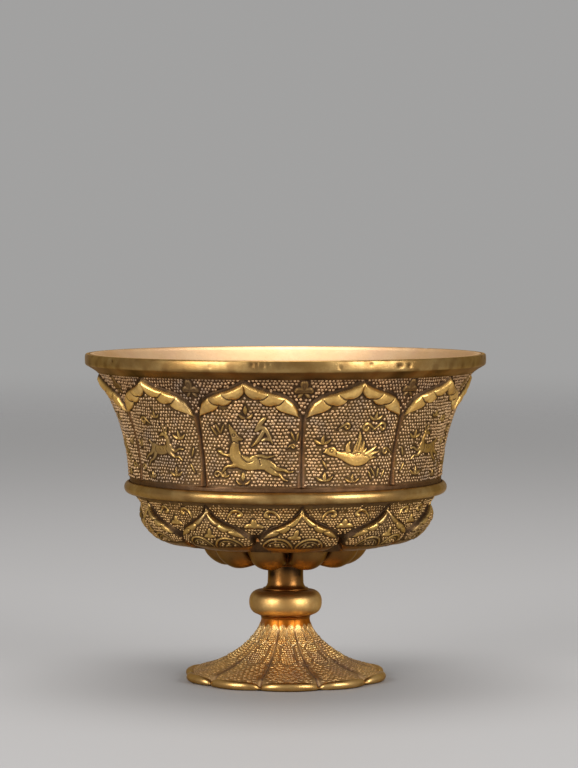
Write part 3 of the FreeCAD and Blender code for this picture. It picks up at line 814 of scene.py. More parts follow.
def petal_motif(x, run, index):
    """How far each place is outside the petal's heart and volutes, its leaves and the valley's scrolls."""
    drawn = strokes_distance(petal_strokes(inner_lean[index]) + valley_strokes(), x, run)
    cuts = strokes_distance(petal_hood_cuts, np.abs(x), run)
    leaves = outline_distance(petal_hood_points, np.abs(x), run)
    return np.minimum(drawn, np.maximum(leaves, -cuts - 0.03))


def belly_relief(x, run, index):
    """Height and finish of the lower register, and the distance to what dots keep clear of."""
    half = lobe_step / 2 * crest_radius(run)
    across = np.clip(np.abs(x) / half, 0, 1)
    x = x - petal_lean[index] * (1 - across ** 2)
    petal, under, low_valley, height, dirt_and_shade = petal_ground(x, run, half, across)
    motif = petal_motif(x, run, index)
    height += petal_figure_rise * ease(-motif, -0.06, 0.16) + 0.07 * ease(-motif, 0.1, 0.5)
    height -= 0.06 * ridge(motif - 0.15, 0.12)
    polish = ease(-motif, -0.03, 0.08)
    rouge = 0.8 * ease(run, 8.6, 11.0) + 0.6 * (1 - ease(run, 0.3, 1.0)) + 0.4 * under
    dirt_and_shade = np.maximum(dirt_and_shade, ridge(motif - 0.14, 0.12)) * (1 - 0.9 * ease(-motif, -0.02, 0.05))
    plain = ease(run, 9.9, 10.5)
    height = height * ease(run, 0.05, 0.25)
    ground = (1 - polish) * (1 - plain)
    # The ground between dots is dark with patina, and darkens more where the belly turns under, as painted
    # shade
    dirt_and_shade = np.clip(dirt_and_shade * (1 - 0.3 * plain) + 0.72 * ground + 0.25 * ease(run, 8.0, 11.0), 0, 1)
    polish = np.maximum(polish * (1 - plain), 0.8 * plain * (1 - low_valley))
    bottom = ease(run, 13.5, 14.1)
    height = height * (1 - bottom) + bottom * 1.1
    clear = np.minimum(motif - 0.05, np.where(petal < 0, -petal - 0.05, petal - 0.18))
    clear = np.minimum(clear, np.minimum(run - petal_dots_start + 0.1, petal_dots_end - 0.1 - run))
    clear = np.where((petal > 0) & (run > 7.4), -1, clear)
    return height, polish, dirt_and_shade, rouge, clear


def petal_sector(index):
    """One lotus petal with the valley's halves beside it, from the bead to under the bowl."""
    turn = petal_turn + index * lobe_step
    mesh = grid_mesh(f"petal_{index}", 138, 126)
    across, up, _ = places(mesh).T
    run = np.interp((1 - up) / 2, (0, 0.82, 1), (petal_run_start, 12.8, petal_run_end))
    x = across * lobe_step / 2 * crest_radius(run)
    height, polish, dirt_and_shade, rouge, _ = belly_relief(x, run, index)
    height = height + 0.025 * uneven(x * 0.9, run, 60 + index, 5) * (run < 13)
    move_points(mesh, placed_on_belly(turn, x, run, height))
    finish_numbers(mesh, polish, dirt_and_shade, rouge, 0.25)
    finished(mesh, chased_gilt, "gilt_chased", "outer_bowl")
    petal_dots(index, turn)


def petal_dots(index, turn):
    """The dots in and above one petal."""
    spots = dotted_rows(
        petal_dots_start, petal_dots_end, petal_dots_reach, petal_dot_pitch, petal_row_pitch, 300 + index,
    )
    spots = spots[np.abs(spots[:, 0]) < lobe_step / 2 * crest_radius(spots[:, 1]) - 0.1]
    piece = punched_ground(
        f"petal_dots_{index}", 400 + index, spots, lambda x, run: belly_relief(x, run, index),
        lambda x, run, lift: placed_on_belly(turn, x, run, lift),
        petal_dot_radius, petal_dot_height, 1, petal_dot_gilt,
    )
    piece.data.flip_normals()


# Foot: a trumpet with ten scallops and three tiers of chasing

foot_radius, foot_waist_radius = 18.5, 4.76
foot_top_z, foot_drop = 11.1, 9.2
foot_power = 1.25
foot_groove_depth = 0.9
# Length of the curved face from collar to rim and, as shares of it, how far the collar reaches
# above it and where dots give way to dashes
foot_run, collar_share, dash_start = 16.0, 0.12, 0.6
# Half of a scallop, and half of one chased tongue on it, in degrees about the axis
half_scallop, half_tongue = 18, 9
foot_dot_pitch, foot_dot_radius, foot_dot_height = 0.46, 0.19, 0.17
edge_middle_radius, edge_middle_z, edge_half_width, edge_half_height = 18.55, 0.86, 0.83, 0.84
scallop_half_width = 5.8


def foot_surface(share):
    """Radius and height on the trumpet, from 0 at the collar to 1 at the rim, and the collar above it."""
    turned = np.clip(share, 0, 1) * math.pi / 2
    radius = foot_radius - (foot_radius - foot_waist_radius) * np.cos(turned) ** foot_power
    z = foot_top_z - foot_drop * np.sin(turned) ** foot_power
    above = np.clip(-share, 0, None)
    return radius, z + above * (foot_height - foot_top_z) / collar_share


def foot_relief(lobe_angle, share):
    """Depth of the flutes, height and finish, and the distance to what dots keep clear of."""
    radius, _ = foot_surface(share)
    degrees = np.degrees(lobe_angle)
    rounded = np.abs(degrees) / half_scallop
    depth = (0.1 + (foot_groove_depth - 0.1) * np.clip(share, 0, 1) ** 2) * rounded ** 2
    mm_per_degree = radius * math.pi / 180
    fine = 0.55 + 0.45 * ease(share, 0.05, 0.35)
    inner = (np.abs(degrees) - half_tongue) / half_tongue
    inner_tip = 0.345 - 0.06 * inner ** 2
    outer = (degrees + half_scallop) % half_scallop
    outer = np.minimum(outer, half_scallop - outer) / half_tongue
    outer_tip = 0.62 - 0.07 * outer ** 2
    in_first = ease(inner_tip - share, -0.006, 0.006)
    in_second = ease(outer_tip - share, -0.006, 0.006) * (1 - in_first)

    first_side = (half_tongue - np.abs(np.abs(degrees) - half_tongue)) * mm_per_degree
    second_side = (half_tongue - outer * half_tongue) * mm_per_degree
    notch = (half_scallop - np.abs(degrees)) * mm_per_degree
    lines = ridge(first_side, 0.16 * fine) * in_first + ridge(second_side, 0.16) * in_second
    above_inner, above_outer = (inner_tip - share) * foot_run, (outer_tip - share) * foot_run
    tips = ridge(above_inner, 0.13) + ridge(above_outer, 0.13) * (1 - in_first)
    groove = ridge(notch, 0.22)
    height = 0.09 * ridge(first_side - 0.32 * fine, 0.14 * fine) * in_first
    height += 0.09 * ridge(second_side - 0.3, 0.14) * in_second
    height += 0.1 * ridge(above_inner - 0.25, 0.14) * in_first
    height += 0.1 * ridge(above_outer - 0.25, 0.14) * in_second
    height -= (0.03 + 0.05 * ease(share, 0.1, 0.3)) * np.clip(lines + tips, 0, 1) + 0.16 * groove
    collar = 0.04 + 0.07 * inner ** 2
    band = ease(share - collar, -0.02, 0.07)
    height = height * band - 0.1 * (1 - band) * ridge(share + 0.05, 0.06)
    top = 1 - ease(share, 0.25, 0.5)
    polish = np.clip(0.25 + 0.45 * top + height * 5, 0, 0.9) * band + 0.5 * (1 - band)
    dust = ridge(notch, 0.3 + 0.9 * ease(share, 0.45, 0.8)) * ease(share, 0.4, 0.6)
    dirt_and_shade = np.clip(lines + tips + groove, 0, 1) * (0.6 - 0.3 * ease(share, 0.3, 0.7)) * band + 0.06 * band
    dirt_and_shade += 0.12 * ease(share, 0.3, 0.75) + 0.38 * dust
    rouge = 1 - ease(share - collar, -0.01, 0.05) + 0.15 * ease(share, 0.3, 0.7)
    side = np.where(share < inner_tip, first_side - 0.2 * fine - 0.06, second_side - 0.26)
    side = np.where(share < outer_tip, side, 1)
    tip = np.where(share < inner_tip, above_inner - 0.26, np.abs(above_outer) - 0.2)
    clear = np.minimum(np.minimum(side, tip), np.minimum(share - collar - 0.01, 0.96 - share) * foot_run)
    clear = np.minimum(clear, notch - 0.4 - 0.5 * ease(share, 0.6, 0.9))
    return depth, height, polish, dirt_and_shade, rouge, clear


def edge_slimness(share):
    """How thick the rolled edge is, from 1 in the middle of a scallop to about a third at its notch."""
    return 1 - 0.5 * share ** 4 - 0.15 * ridge((1 - share) * scallop_half_width, 0.4)


def placed_on_foot(turn, angle, share, depth, lift):
    """Places on the foot, lifted off the trumpet's face, with a rim that dips into the rolled edge."""
    radius, z = foot_surface(share)
    meets = foot_top_z - foot_drop - 1.25 * edge_slimness(np.clip(np.abs(angle) / (lobe_step / 2), 0, 1))
    z = z - meets * ease(share, 0.84, 1.0) ** 1.5
    step = 0.002
    ahead_radius, ahead_z = foot_surface(np.clip(share, 0.004, 1 - step) + step)
    here_radius, here_z = foot_surface(np.clip(share, 0.004, 1 - step))
    along_radius, along_z = ahead_radius - here_radius, ahead_z - here_z
    length = np.hypot(along_radius, along_z)
    out_radius, out_z = -along_z / length, along_radius / length
    return around_axis(radius - depth + lift * out_radius, front + turn + angle, z + lift * out_z)


def foot_sector(index):
    """One scallop of the foot, from the collar under the knop to the rolled edge."""
    turn = foot_turn + index * lobe_step
    mesh = grid_mesh(f"foot_scallop_{index}", 92, 114)
    across, up, _ = places(mesh).T
    share = np.interp((1 - up) / 2, (0, 0.08, 0.5, 1), (-collar_share, 0, 0.42, 1.0))
    angle = across * lobe_step / 2
    depth, height, polish, dirt_and_shade, rouge, _ = foot_relief(angle, share)
    move_points(mesh, placed_on_foot(turn, angle, share, depth, height))
    finish_numbers(mesh, polish, dirt_and_shade, rouge)
    finished(mesh, foot_gilt, "gilt_chased", "foot")
    foot_dots(index, turn)


def dot_fineness(share):
    """How large the foot's dots are, which are finer near the collar."""
    return 0.6 + 0.4 * ease(share, 0.05, 0.35)


def foot_dot_spots(pick):
    """Rows of dots down one scallop, each an angle in degrees and a share of the way down."""
    spots = []
    share = 0.045
    staggered = 0.25
    while share < 0.95:
        radius, _ = foot_surface(np.array([share]))
        fine = dot_fineness(share)
        step = math.degrees(foot_dot_pitch * fine / radius[0])
        if share > dash_start:
            step *= 2.1
        waved = ease(share, dash_start - 0.05, dash_start + 0.05)
        for degrees in np.arange(-half_scallop + step * staggered, half_scallop, step):
            wave = 0.007 * math.sin(degrees * 0.7 + share * 90) * waved
            spots.append((degrees + pick.normal(0, step * 0.07), share + wave + pick.normal(0, 0.002)))
        staggered = 1 - staggered
        share += 0.0275 * fine if share < dash_start else 0.033
    return np.array(spots)


def foot_dots(index, turn):
    """The punched dots of one scallop, and the long dashes below them."""
    pick = np.random.default_rng(500 + index)
    spots = foot_dot_spots(pick)
    clear = foot_relief(np.radians(spots[:, 0]), spots[:, 1])[-1]
    rows = []
    for degrees, share in spots[clear > 0]:
        long = 2.3 if share > dash_start else 1.05
        radius, _ = foot_surface(np.array([share]))
        width = foot_dot_radius * dot_fineness(share)
        tall = (foot_dot_height - 0.07 * ease(share, 0.45, 0.75)) * dot_fineness(share)
        across, down = width * long / radius[0], 0.9 * width / foot_run
        rows.append((math.radians(degrees), share, across, down, tall, 0))
    shape = bead_shape(8)
    dots = scattered(f"foot_dots_{index}", rows, shape)
    shades = np.repeat(pick.uniform(0, 1, len(rows)), len(shape.vertices))
    bpy.data.meshes.remove(shape)
    angle, share, lift = places(dots).T
    depth, height, _, dirt_and_shade, rouge, _ = foot_relief(angle, share)
    move_points(dots, placed_on_foot(turn, angle, share, depth, height + lift))
    dots.flip_normals()
    rise = lift / foot_dot_height
    # The foot's dots are dark at their feet with patina and painted shade
    soiled_and_shaded = 0.6 * (1 - ease(rise, 0.1, 0.55)) + 0.6 * dirt_and_shade
    finish_numbers(dots, 0.9 * ease(rise, 0.2, 0.7), soiled_and_shaded, 0.4 * rouge, shades)
    finished(dots, foot_gilt, "gilt_chased", "foot")


# Plain pieces are profiles spun about the axis

def spun(name, profile, steps):
    """A closed profile of radius and height, spun in a full turn."""
    bm = bmesh.new()
    points = [bm.verts.new((radius * metres, 0, z * metres)) for radius, z in profile]
    edges = [bm.edges.new(pair) for pair in zip(points, [*points[1:], points[0]])]
    bmesh.ops.spin(
        bm, geom=points + edges, cent=(0, 0, 0), axis=(0, 0, 1), angle=2 * math.pi,
        steps=int(steps * fineness), use_merge=True, use_duplicate=False,
    )
    bmesh.ops.recalc_face_normals(bm, faces=bm.faces)
    return mesh_from(name, bm)


def cylinder_places(mesh):
    """Radius, angle and height of a mesh's points, in millimetres."""
    points = places(mesh) / metres
    return np.hypot(points[:, 0], points[:, 1]), np.arctan2(points[:, 1], points[:, 0]), points[:, 2]


def rounded_profile(points, steps):
    """A profile with points added along a smooth curve."""
    return [(x, y) for x, y, _ in smooth_chain([(x, y, 1) for x, y in points], steps)]


def dented(angle, z, dents):
    """How deep small dents are, each an angle from the front in degrees, a height, a size and a depth."""
    depth = np.zeros_like(angle)
    for degrees, height, size, deep in dents:
        away = np.hypot(away_from(angle, degrees) * lip_radius, z - height)
        depth += deep * np.exp(-(away / size) ** 2)
    return depth


lip_profile = [
    (37.2, 61.93), (37.45, 61.96), (37.72, 61.93), (37.9, 61.8), (37.97, 61.55), (lip_radius, 61.2),
    (37.99, 60.5), (37.94, 60.05), (37.78, 59.8), (37.4, 59.6), (36.85, 59.3), (36.35, 58.98),
    (35.95, 58.7), (35.7, 58.5), (35.6, 58.38), (35.35, 58.4), (35.9, 59.2), (36.7, 60.3), (37.1, 61.0),
    (37.2, 61.5),
]
# Each mark on the lip is an angle from the front in degrees, a height, a size and a depth
lip_nick = (132.5, 61.9, 0.5, 0.35)
lip_marks = [
    (-57, 61.2, 0.34, 0.22), (32.7, 60.85, 0.36, 0.24), (36.2, 60.85, 0.36, 0.24), (33.5, 60.85, 0.34, 0.2),
    (-9, 61.2, 0.3, 0.14), (-6, 61.0, 0.35, 0.14), (-7.6, 61.35, 0.2, 0.12), (-4.4, 61.3, 0.2, 0.12),
    (15, 60.6, 0.25, 0.14), (-21, 60.8, 0.2, 0.1), (24, 61.3, 0.25, 0.14), (80, 61.2, 0.4, 0.15),
    (-100, 61.0, 0.35, 0.15), (170, 61.0, 0.4, 0.15), lip_nick,
]


def lip_band():
    """The applied band at the rim, a little wavy, pitted and nicked by use."""
    mesh = spun("lip_band_dressed", rounded_profile(lip_profile, 2), 900)
    radius, angle, z = cylinder_places(mesh)
    outer = ease(radius, 37.0, 37.8)
    radius = radius - 0.09 * outer * hand_made(angle, z * 0.1, 3, 14)
    radius = radius - outer * dented(angle, z, lip_marks)
    wavy = hand_made(angle, z * 0, 5, 18)
    z = z - 0.04 * ease(z, 61.0, 61.9) * wavy - 0.5 * dented(angle, z, [lip_nick])
    move_points(mesh, around_axis(radius, angle, z))
    face = ease(radius, 37.55, 37.85)
    below = (1 - face) * (z < 61.2)
    streaks = ease(uneven(angle * 3, z * 2.5, 14, 22), 0.05, 0.45)
    # The bevel below the face and the foot of the band are darker, with streaks on the face; the shade of
    # 0.15 paints the whole band darker than the same gilt on the knop, as painted shade
    dirt_and_shade = below * (0.34 + 0.8 * uneven(angle * 2, z * 3, 6, 20)) + 0.35 * ridge(z - 58.5, 0.25)
    dirt_and_shade += 4.5 * outer * dented(angle, z, lip_marks) + 0.35 * streaks * face
    finish_numbers(mesh, face, dirt_and_shade, 0.6 * below + 0.35 * streaks, 0.15)
    finished(mesh, plain_gilt, "gilt_plain", "lip_band")


def waist_bead():
    """The half-round moulding at the waist."""
    turns = np.linspace(-math.pi / 2, math.pi / 2, 13)
    profile = []
    for turn in turns:
        across = bead_seat_radius + bead_bulge * math.cos(turn)
        profile.append((across, bead_middle + bead_half_height * math.sin(turn)))
    mesh = spun("waist_bead_dressed", profile, 432)
    radius, angle, z = cylinder_places(mesh)
    outer = ease(radius, 29.7, 30.3)
    radius = radius - 0.05 * outer * hand_made(angle, z * 0.2, 8, 16)
    move_points(mesh, around_axis(radius, angle, z))
    streaks = ease(uneven(angle * 3, z * 2.5, 18, 22), 0.05, 0.45)
    # The bead is painted dark where it meets the wall above and below, a painted shadow in the joins; its
    # shade of 0.3 also paints it darker than the same gilt on the knop, as painted shade
    dirt_and_shade = 0.9 * (1 - ease(radius, 29.65, 30.05)) + 0.2 * streaks
    finish_numbers(mesh, outer, dirt_and_shade, 0.3 * streaks, 0.3)
    finished(mesh, plain_gilt, "gilt_plain", "waist_bead")


def bowl_face(inset, rings):
    """A profile down the bowl from the lip to the axis, inset behind the ground."""
    points = []
    for step in range(rings + 1):
        z = lip_top - 0.1 - (lip_top - 0.1 - bead_top) * step / rings
        points.append((flare_centre - math.sqrt((flare_bend + inset) ** 2 - (z - bead_top) ** 2), z))
    points += [(waist_radius - inset, bead_middle), (waist_radius - 0.2 - inset, bead_middle - 1.15)]
    for step in range(rings + 1):
        turn = math.pi / 2 * step / rings
        bend = ground_bend - inset
        points.append((belly_centre_radius + bend * math.cos(turn), belly_centre_z - bend * math.sin(turn)))
    bottom = points[-1][1]
    return [*points, (14.0, bottom), (7.0, bottom), (0.0, bottom)]


def bowl_lining():
    """The plain inner bowl, slightly uneven from the hammer."""
    back = bowl_face(0.76, 8)[::-1]
    mesh = spun("lining_dressed", [*bowl_face(1.36, 36), *back], 360)
    radius, angle, z = cylinder_places(mesh)
    wave = 0.05 * uneven(angle, z * 0.8, 11, 12) * ease(radius, 1.0, 10.0) * (1 - ease(z, 60.5, 61.5))
    move_points(mesh, around_axis(radius + wave, angle, z))
    finish_numbers(mesh, np.full(radius.shape, 0.7), 0.25 * ridge(z - 61.9, 0.2))
    finished(mesh, lining_gilt, "gilt_lining", "lining")


def calyx():
    """Ten plump plain lobes under the bowl, closed by a floor."""
    underside = [
        (3.45, 21.95), (5.5, 22.1), (7.2, 22.2), (8.7, 22.05), (10.0, 21.8), (11.0, 21.72), (12.2, 21.9),
        (13.6, 22.6), (14.8, 23.7), (15.5, 24.9), (calyx_radius, calyx_top),
    ]
    profile = [*rounded_profile(underside, 4), (15.0, calyx_top), (3.0, 23.0)]
    mesh = spun("calyx_dressed", profile, 480)
    radius, angle, z = cylinder_places(mesh)
    share = lobe_share(angle, calyx_turn)
    rise = np.clip((radius - 5.0) / (calyx_radius - 5.0), 0, 1)
    pinch = (1 - np.sqrt(1 - 0.96 * share ** 2)) / 0.8
    outside = ease(radius, 5.0, 6.0) * (z < calyx_top - 0.01)
    groove = ridge((1 - share) * lobe_step / 2 * radius, 0.55) * ease(rise, 0.1, 0.4)
    lifted = 1.9 * pinch * outside * ease(rise, 0.15, 0.6) * (1 - ease(z, calyx_top - 2, calyx_top))
    past_floor = (radius - calyx_lobe_start) / (calyx_radius - calyx_lobe_start)
    radius = radius - 3.0 * pinch * np.clip(past_floor, 0, 1) * (radius > calyx_lobe_start)
    move_points(mesh, around_axis(radius, angle, z + lifted + 0.03 * uneven(angle, z, 15, 20) * outside))
    # A dark band painted down the front lobe's underside is a painted reflection of the neck; the grooves
    # between the lobes and the top under the bowl are darkened as painted shade, and the low shade of 0.2
    # darkens the whole calyx as painted shade
    painted_neck_reflection = ridge(away_from(angle, 2) * 14, 0.9) * ease(z, 22.2, 23.0)
    dirt_and_shade = 0.6 * groove + 0.5 * ease(z, calyx_top - 1.4, calyx_top) + 0.5 * painted_neck_reflection + 0.14
    dirt_and_shade += 0.15 * uneven(angle * 2, z * 2, 19, 9)
    finish_numbers(mesh, 0.6, dirt_and_shade, 0.25, 0.2)
    finished(mesh, stem_gilt, "gilt_plain", "calyx")


# Each dark patch on the neck is a painted reflection of dark surroundings, given as an angle from the front
# in degrees, a height, a size and a darkness
neck_painted_reflections = [
    (-52, 20.4, 1.2, 1.0), (46, 20.5, 1.3, 1.0), (-14, 19.4, 0.5, 0.8), (6, 21.4, 1.3, 0.6),
    (140, 20.6, 1.5, 0.8), (-150, 20.0, 1.2, 0.8),
]


def stem_neck():
    """The spool between calyx and knop, with its flare."""
    spool = [
        (neck_flare_radius, 17.0), (4.22, 17.12), (3.95, 17.35), (3.62, 17.75), (3.44, 18.2),
        (neck_radius, 18.9), (3.36, 20.0), (3.38, 21.2), (3.46, 21.75), (3.5, calyx_bottom),
    ]
    lower_spigot = [(2.1, 10.7), (2.9, 10.7), (2.9, 16.9)]
    upper_spigot = [(2.9, calyx_bottom), (2.9, 22.8), (2.1, 22.8)]
    mesh = spun("stem_neck_dressed", [*lower_spigot, *spool, *upper_spigot], 144)
    radius, angle, z = cylinder_places(mesh)
    radius = radius + 0.04 * uneven(angle, z * 1.5, 21, 6) * ease(radius, 3.2, 3.35) * (z > 17.1)
    move_points(mesh, around_axis(radius, angle, z))
    # The upper neck, under the calyx, is darkened as painted shade, and the shade of 0.3 darkens the whole
    # neck as painted shade
    shadow = 0.4 * ease(z, 19.0, 21.0) + 0.12 * uneven(angle * 2, z * 2.2, 9, 5)
    for degrees, height, size, deep in neck_painted_reflections:
        away = np.hypot(away_from(angle, degrees) * neck_radius, z - height)
        shadow += deep * np.exp(-(away / size) ** 2)
    finish_numbers(mesh, 0.85, shadow, 0.6, 0.3)
    finished(mesh, stem_gilt, "gilt_plain", "stem_neck")


def knop():
    """The polished hollow bead on the stem."""
    middle = (foot_height + knop_top) / 2
    half_height = knop_top - middle - 0.04
    profile = [(2.95, foot_height + 0.05), (4.4, foot_height + 0.03)]
    for step in range(33):
        turn = -math.pi / 2 + math.pi * step / 32
        across = knop_seat_radius + knop_bulge * abs(math.cos(turn)) ** 0.75
        profile.append((across, middle + half_height * math.copysign(abs(math.sin(turn)) ** 0.9, turn)))
    mesh = spun("knop_dressed", [*profile, (2.95, knop_top - 0.05)], 240)
    radius, angle, z = cylinder_places(mesh)
    outer = ease(radius, 5.0, 6.5)
    radius = radius - 0.05 * outer * hand_made(angle, z * 0.7, 31, 7)
    move_points(mesh, around_axis(radius, angle, z))
    # The shoulders next to the seats are darkened as painted shadow, and the full shade of 1.0 paints the
    # knop brighter than the same gilt on the lip and bead, a painted highlight
    shadow = 0.2 * (1 - ease(radius, 4.6, 5.6))
    finish_numbers(mesh, 0.35 + 0.25 * outer, shadow, 0.8 * (1 - ease(radius, 4.8, 6.5)), 1.0)
    finished(mesh, plain_gilt, "gilt_plain", "knop")


def fillet(name, node, radius, z, size, up):
    """A small uneven fillet of old solder in the corner between two stem pieces."""
    profile = [(radius - 0.3, z - 0.02 * up), (radius - 0.3, z + size * up)]
    for step in range(7):
        turn = math.pi / 2 * step / 6
        profile.append((radius + size * (1 - math.cos(turn)), z + size * (1 - math.sin(turn)) * up))
    mesh = spun(name, profile, 144)
    across, angle, height = cylinder_places(mesh)
    across = across - 0.06 * hand_made(angle, height, 77, 9) * ease(across, radius, radius + size)
    move_points(mesh, around_axis(across, angle, height))
    finish_numbers(mesh, 0.7, 0.2 + 0.2 * uneven(angle, height * 3, 78, 9), 0.9, 0.8)
    finished(mesh, stem_gilt, "solder", node)


def foot_edge():
    """The rolled edge that follows the scallops."""
    profile = []
    for step in range(20):
        turn = 2 * math.pi * step / 20
        across = edge_middle_radius + edge_half_width * math.cos(turn)
        profile.append((across, edge_middle_z + edge_half_height * math.sin(turn)))
    mesh = spun("foot_edge_dressed", profile, 480)
    radius, angle, z = cylinder_places(mesh)
    share = lobe_share(angle, foot_turn)
    notch = ridge((1 - share) * scallop_half_width, 0.4)
    slim = edge_slimness(share)
    middle = edge_middle_radius - 0.2 * (1 - slim)
    radius = middle + (radius - edge_middle_radius) * slim - foot_groove_depth * share ** 2
    z = z * slim
    move_points(mesh, around_axis(radius, angle, z))
    # The notches are darkened, the underside next to the floor is darkened as painted shade, and the shade
    # of 0.8 paints the edge brighter than the same gilt on the lip, a painted highlight
    dirt_and_shade = 0.8 * notch + 0.6 * (1 - ease(z, 0.15, 0.4))
    finish_numbers(mesh, 0.9 - 0.6 * notch, dirt_and_shade, 0.5 * notch, 0.8)
    finished(mesh, plain_gilt, "gilt_plain", "foot_edge")


# Materials

def new_material(name):
    """A material with an empty node tree but its shader and output."""
    material = bpy.data.materials.new(name)
    material.use_nodes = True
    return material, material.node_tree, material.node_tree.nodes["Principled BSDF"]


def add_node(tree, kind, values=(), **settings):
    """A node with some of its settings, and its inputs by name."""
    node = tree.nodes.new(kind)
    for key, value in settings.items():
        setattr(node, key, value)
    for key, value in dict(values).items():
        node.inputs[key].default_value = value
    return node


def feed(tree, socket, value):
    """Gives a socket a value, or links it to another socket."""
    if isinstance(value, bpy.types.NodeSocket):
        tree.links.new(value, socket)
    else:
        socket.default_value = value


def maths(tree, operation, first, second):
    """One sum on two values or sockets."""
    node = add_node(tree, "ShaderNodeMath", operation=operation)
    feed(tree, node.inputs[0], first)
    feed(tree, node.inputs[1], second)
    return node.outputs[0]


def blended(tree, factor, first, second, kind="MIX"):
    """A mix of two colours or sockets."""
    node = add_node(tree, "ShaderNodeMix", data_type="RGBA", blend_type=kind)
    feed(tree, node.inputs[0], factor)
    feed(tree, node.inputs[6], first)
    feed(tree, node.inputs[7], second)
    return node.outputs[2]


def remapped(tree, value, low, high, to_low=0.0, to_high=1.0):
    """A value moved smoothly from one range to another."""
    node = add_node(tree, "ShaderNodeMapRange", interpolation_type="SMOOTHSTEP")
    tree.links.new(value, node.inputs["Value"])
    for name, number in zip(("From Min", "From Max", "To Min", "To Max"), (low, high, to_low, to_high)):
        node.inputs[name].default_value = number
    return node.outputs["Result"]


def millimetres(tree):
    """Object coordinates counted in millimetres."""
    place = add_node(tree, "ShaderNodeTexCoord")
    scale = add_node(tree, "ShaderNodeVectorMath", operation="SCALE")
    scale.inputs["Scale"].default_value = 1000
    tree.links.new(place.outputs["Object"], scale.inputs[0])
    return scale.outputs[0]


def cloudy(tree, place, scale, detail, roughness=0.55):
    """A noise value at a scale in waves for each millimetre."""
    node = add_node(tree, "ShaderNodeTexNoise", {"Scale": scale, "Detail": detail, "Roughness": roughness})
    tree.links.new(place, node.inputs["Vector"])
    return node.outputs["Fac"]


def finish_group(name, colours, numbers):
    """A shader node group with colours and numbers for inputs, and a gilt finish for outputs."""
    tree = bpy.data.node_groups.new(name, "ShaderNodeTree")
    for label in colours:
        tree.interface.new_socket(label, in_out="INPUT", socket_type="NodeSocketColor")
    for label in numbers:
        tree.interface.new_socket(label, in_out="INPUT", socket_type="NodeSocketFloat")
    for label, kind in (("Colour", "Color"), ("Roughness", "Float"), ("Height", "Float")):
        tree.interface.new_socket(label, in_out="OUTPUT", socket_type=f"NodeSocket{kind}")
    return tree, tree.nodes.new("NodeGroupInput"), tree.nodes.new("NodeGroupOutput")


gold_colours = ("Gold", "Pale Gold", "Copper", "Patina", "Tarnish")
# The darkening number stands for real dirt and patina, and also for painted shade in grooves, under edges
# and at joins
piece_numbers = ("Polish", "Dirt_And_Shade", "Rouge", "Shade")
finish_amounts = ("Copper Amount", "Tarnish Amount", "Low Roughness", "High Roughness")


def gilding_colour(tree, place, given, fine):
    """Gold with pale, copper and tarnished patches, before any dirt."""
    broad = remapped(tree, cloudy(tree, place, 0.16, 4), 0.38, 0.66)
    pale = maths(tree, "MULTIPLY", broad, given["Polish"])
    colour = blended(tree, pale, given["Gold"], given["Pale Gold"])
    rouge = maths(tree, "MULTIPLY", fine, given["Copper Amount"])
    rouge = maths(tree, "MAXIMUM", rouge, given["Rouge"])
    colour = blended(tree, rouge, colour, given["Copper"])
    tone = remapped(tree, given["Shade"], 0, 1, 0.72, 1.28)
    colour = blended(tree, 1.0, colour, tone, "MULTIPLY")
    stained = remapped(tree, cloudy(tree, place, 0.13, 5, 0.6), 0.48, 0.66)
    stained = maths(tree, "MULTIPLY", stained, given["Tarnish Amount"])
    return blended(tree, stained, colour, given["Tarnish"])


def soiling_and_shade(tree, place, given):
    """How much of the gold is darkened by dirt and by painted shade, with specks and patches."""
    specks = remapped(tree, cloudy(tree, place, 4.5, 2), 0.62, 0.72)
    patches = remapped(tree, cloudy(tree, place, 0.7, 4), 0.2, 0.6, 0.75, 1.05)
    soiled_and_shaded = maths(tree, "ADD", given["Dirt_And_Shade"], maths(tree, "MULTIPLY", specks, 0.25))
    return maths(tree, "MINIMUM", maths(tree, "MULTIPLY", soiled_and_shaded, patches), 1.0)


def worn_roughness(tree, given, soiled_and_shaded, fine):
    """Roughness that grows with dirt and painted shade and with want of polish."""
    rough = maths(tree, "MAXIMUM", soiled_and_shaded, maths(tree, "SUBTRACT", 1.0, given["Polish"]))
    rough = maths(tree, "ADD", rough, maths(tree, "MULTIPLY", maths(tree, "SUBTRACT", fine, 0.5), 0.25))
    node = add_node(tree, "ShaderNodeMapRange")
    tree.links.new(rough, node.inputs["Value"])
    tree.links.new(given["Low Roughness"], node.inputs["To Min"])
    tree.links.new(given["High Roughness"], node.inputs["To Max"])
    return node.outputs["Result"]


def hammered_height(tree, place):
    """Pits, hammer marks and grain, for the bump."""
    pits = maths(tree, "MULTIPLY", remapped(tree, cloudy(tree, place, 2.6, 3), 0.3, 0.42), 0.35)
    grain = maths(tree, "MULTIPLY", cloudy(tree, place, 9.0, 2), 0.12)
    return maths(tree, "ADD", maths(tree, "ADD", pits, cloudy(tree, place, 0.5, 2)), grain)


def aged_gold_group():
    """Gilding that varies from pale to copper, with patina in the recesses."""
    tree, group_input, result = finish_group("aged gold", gold_colours, piece_numbers + finish_amounts)
    given = group_input.outputs
    place = millimetres(tree)
    fine = remapped(tree, cloudy(tree, place, 1.1, 5), 0.35, 0.7)
    soiled_and_shaded = soiling_and_shade(tree, place, given)
    colour = blended(tree, soiled_and_shaded, gilding_colour(tree, place, given, fine), given["Patina"])
    tree.links.new(colour, result.inputs["Colour"])
    tree.links.new(worn_roughness(tree, given, soiled_and_shaded, fine), result.inputs["Roughness"])
    tree.links.new(hammered_height(tree, place), result.inputs["Height"])
    return tree


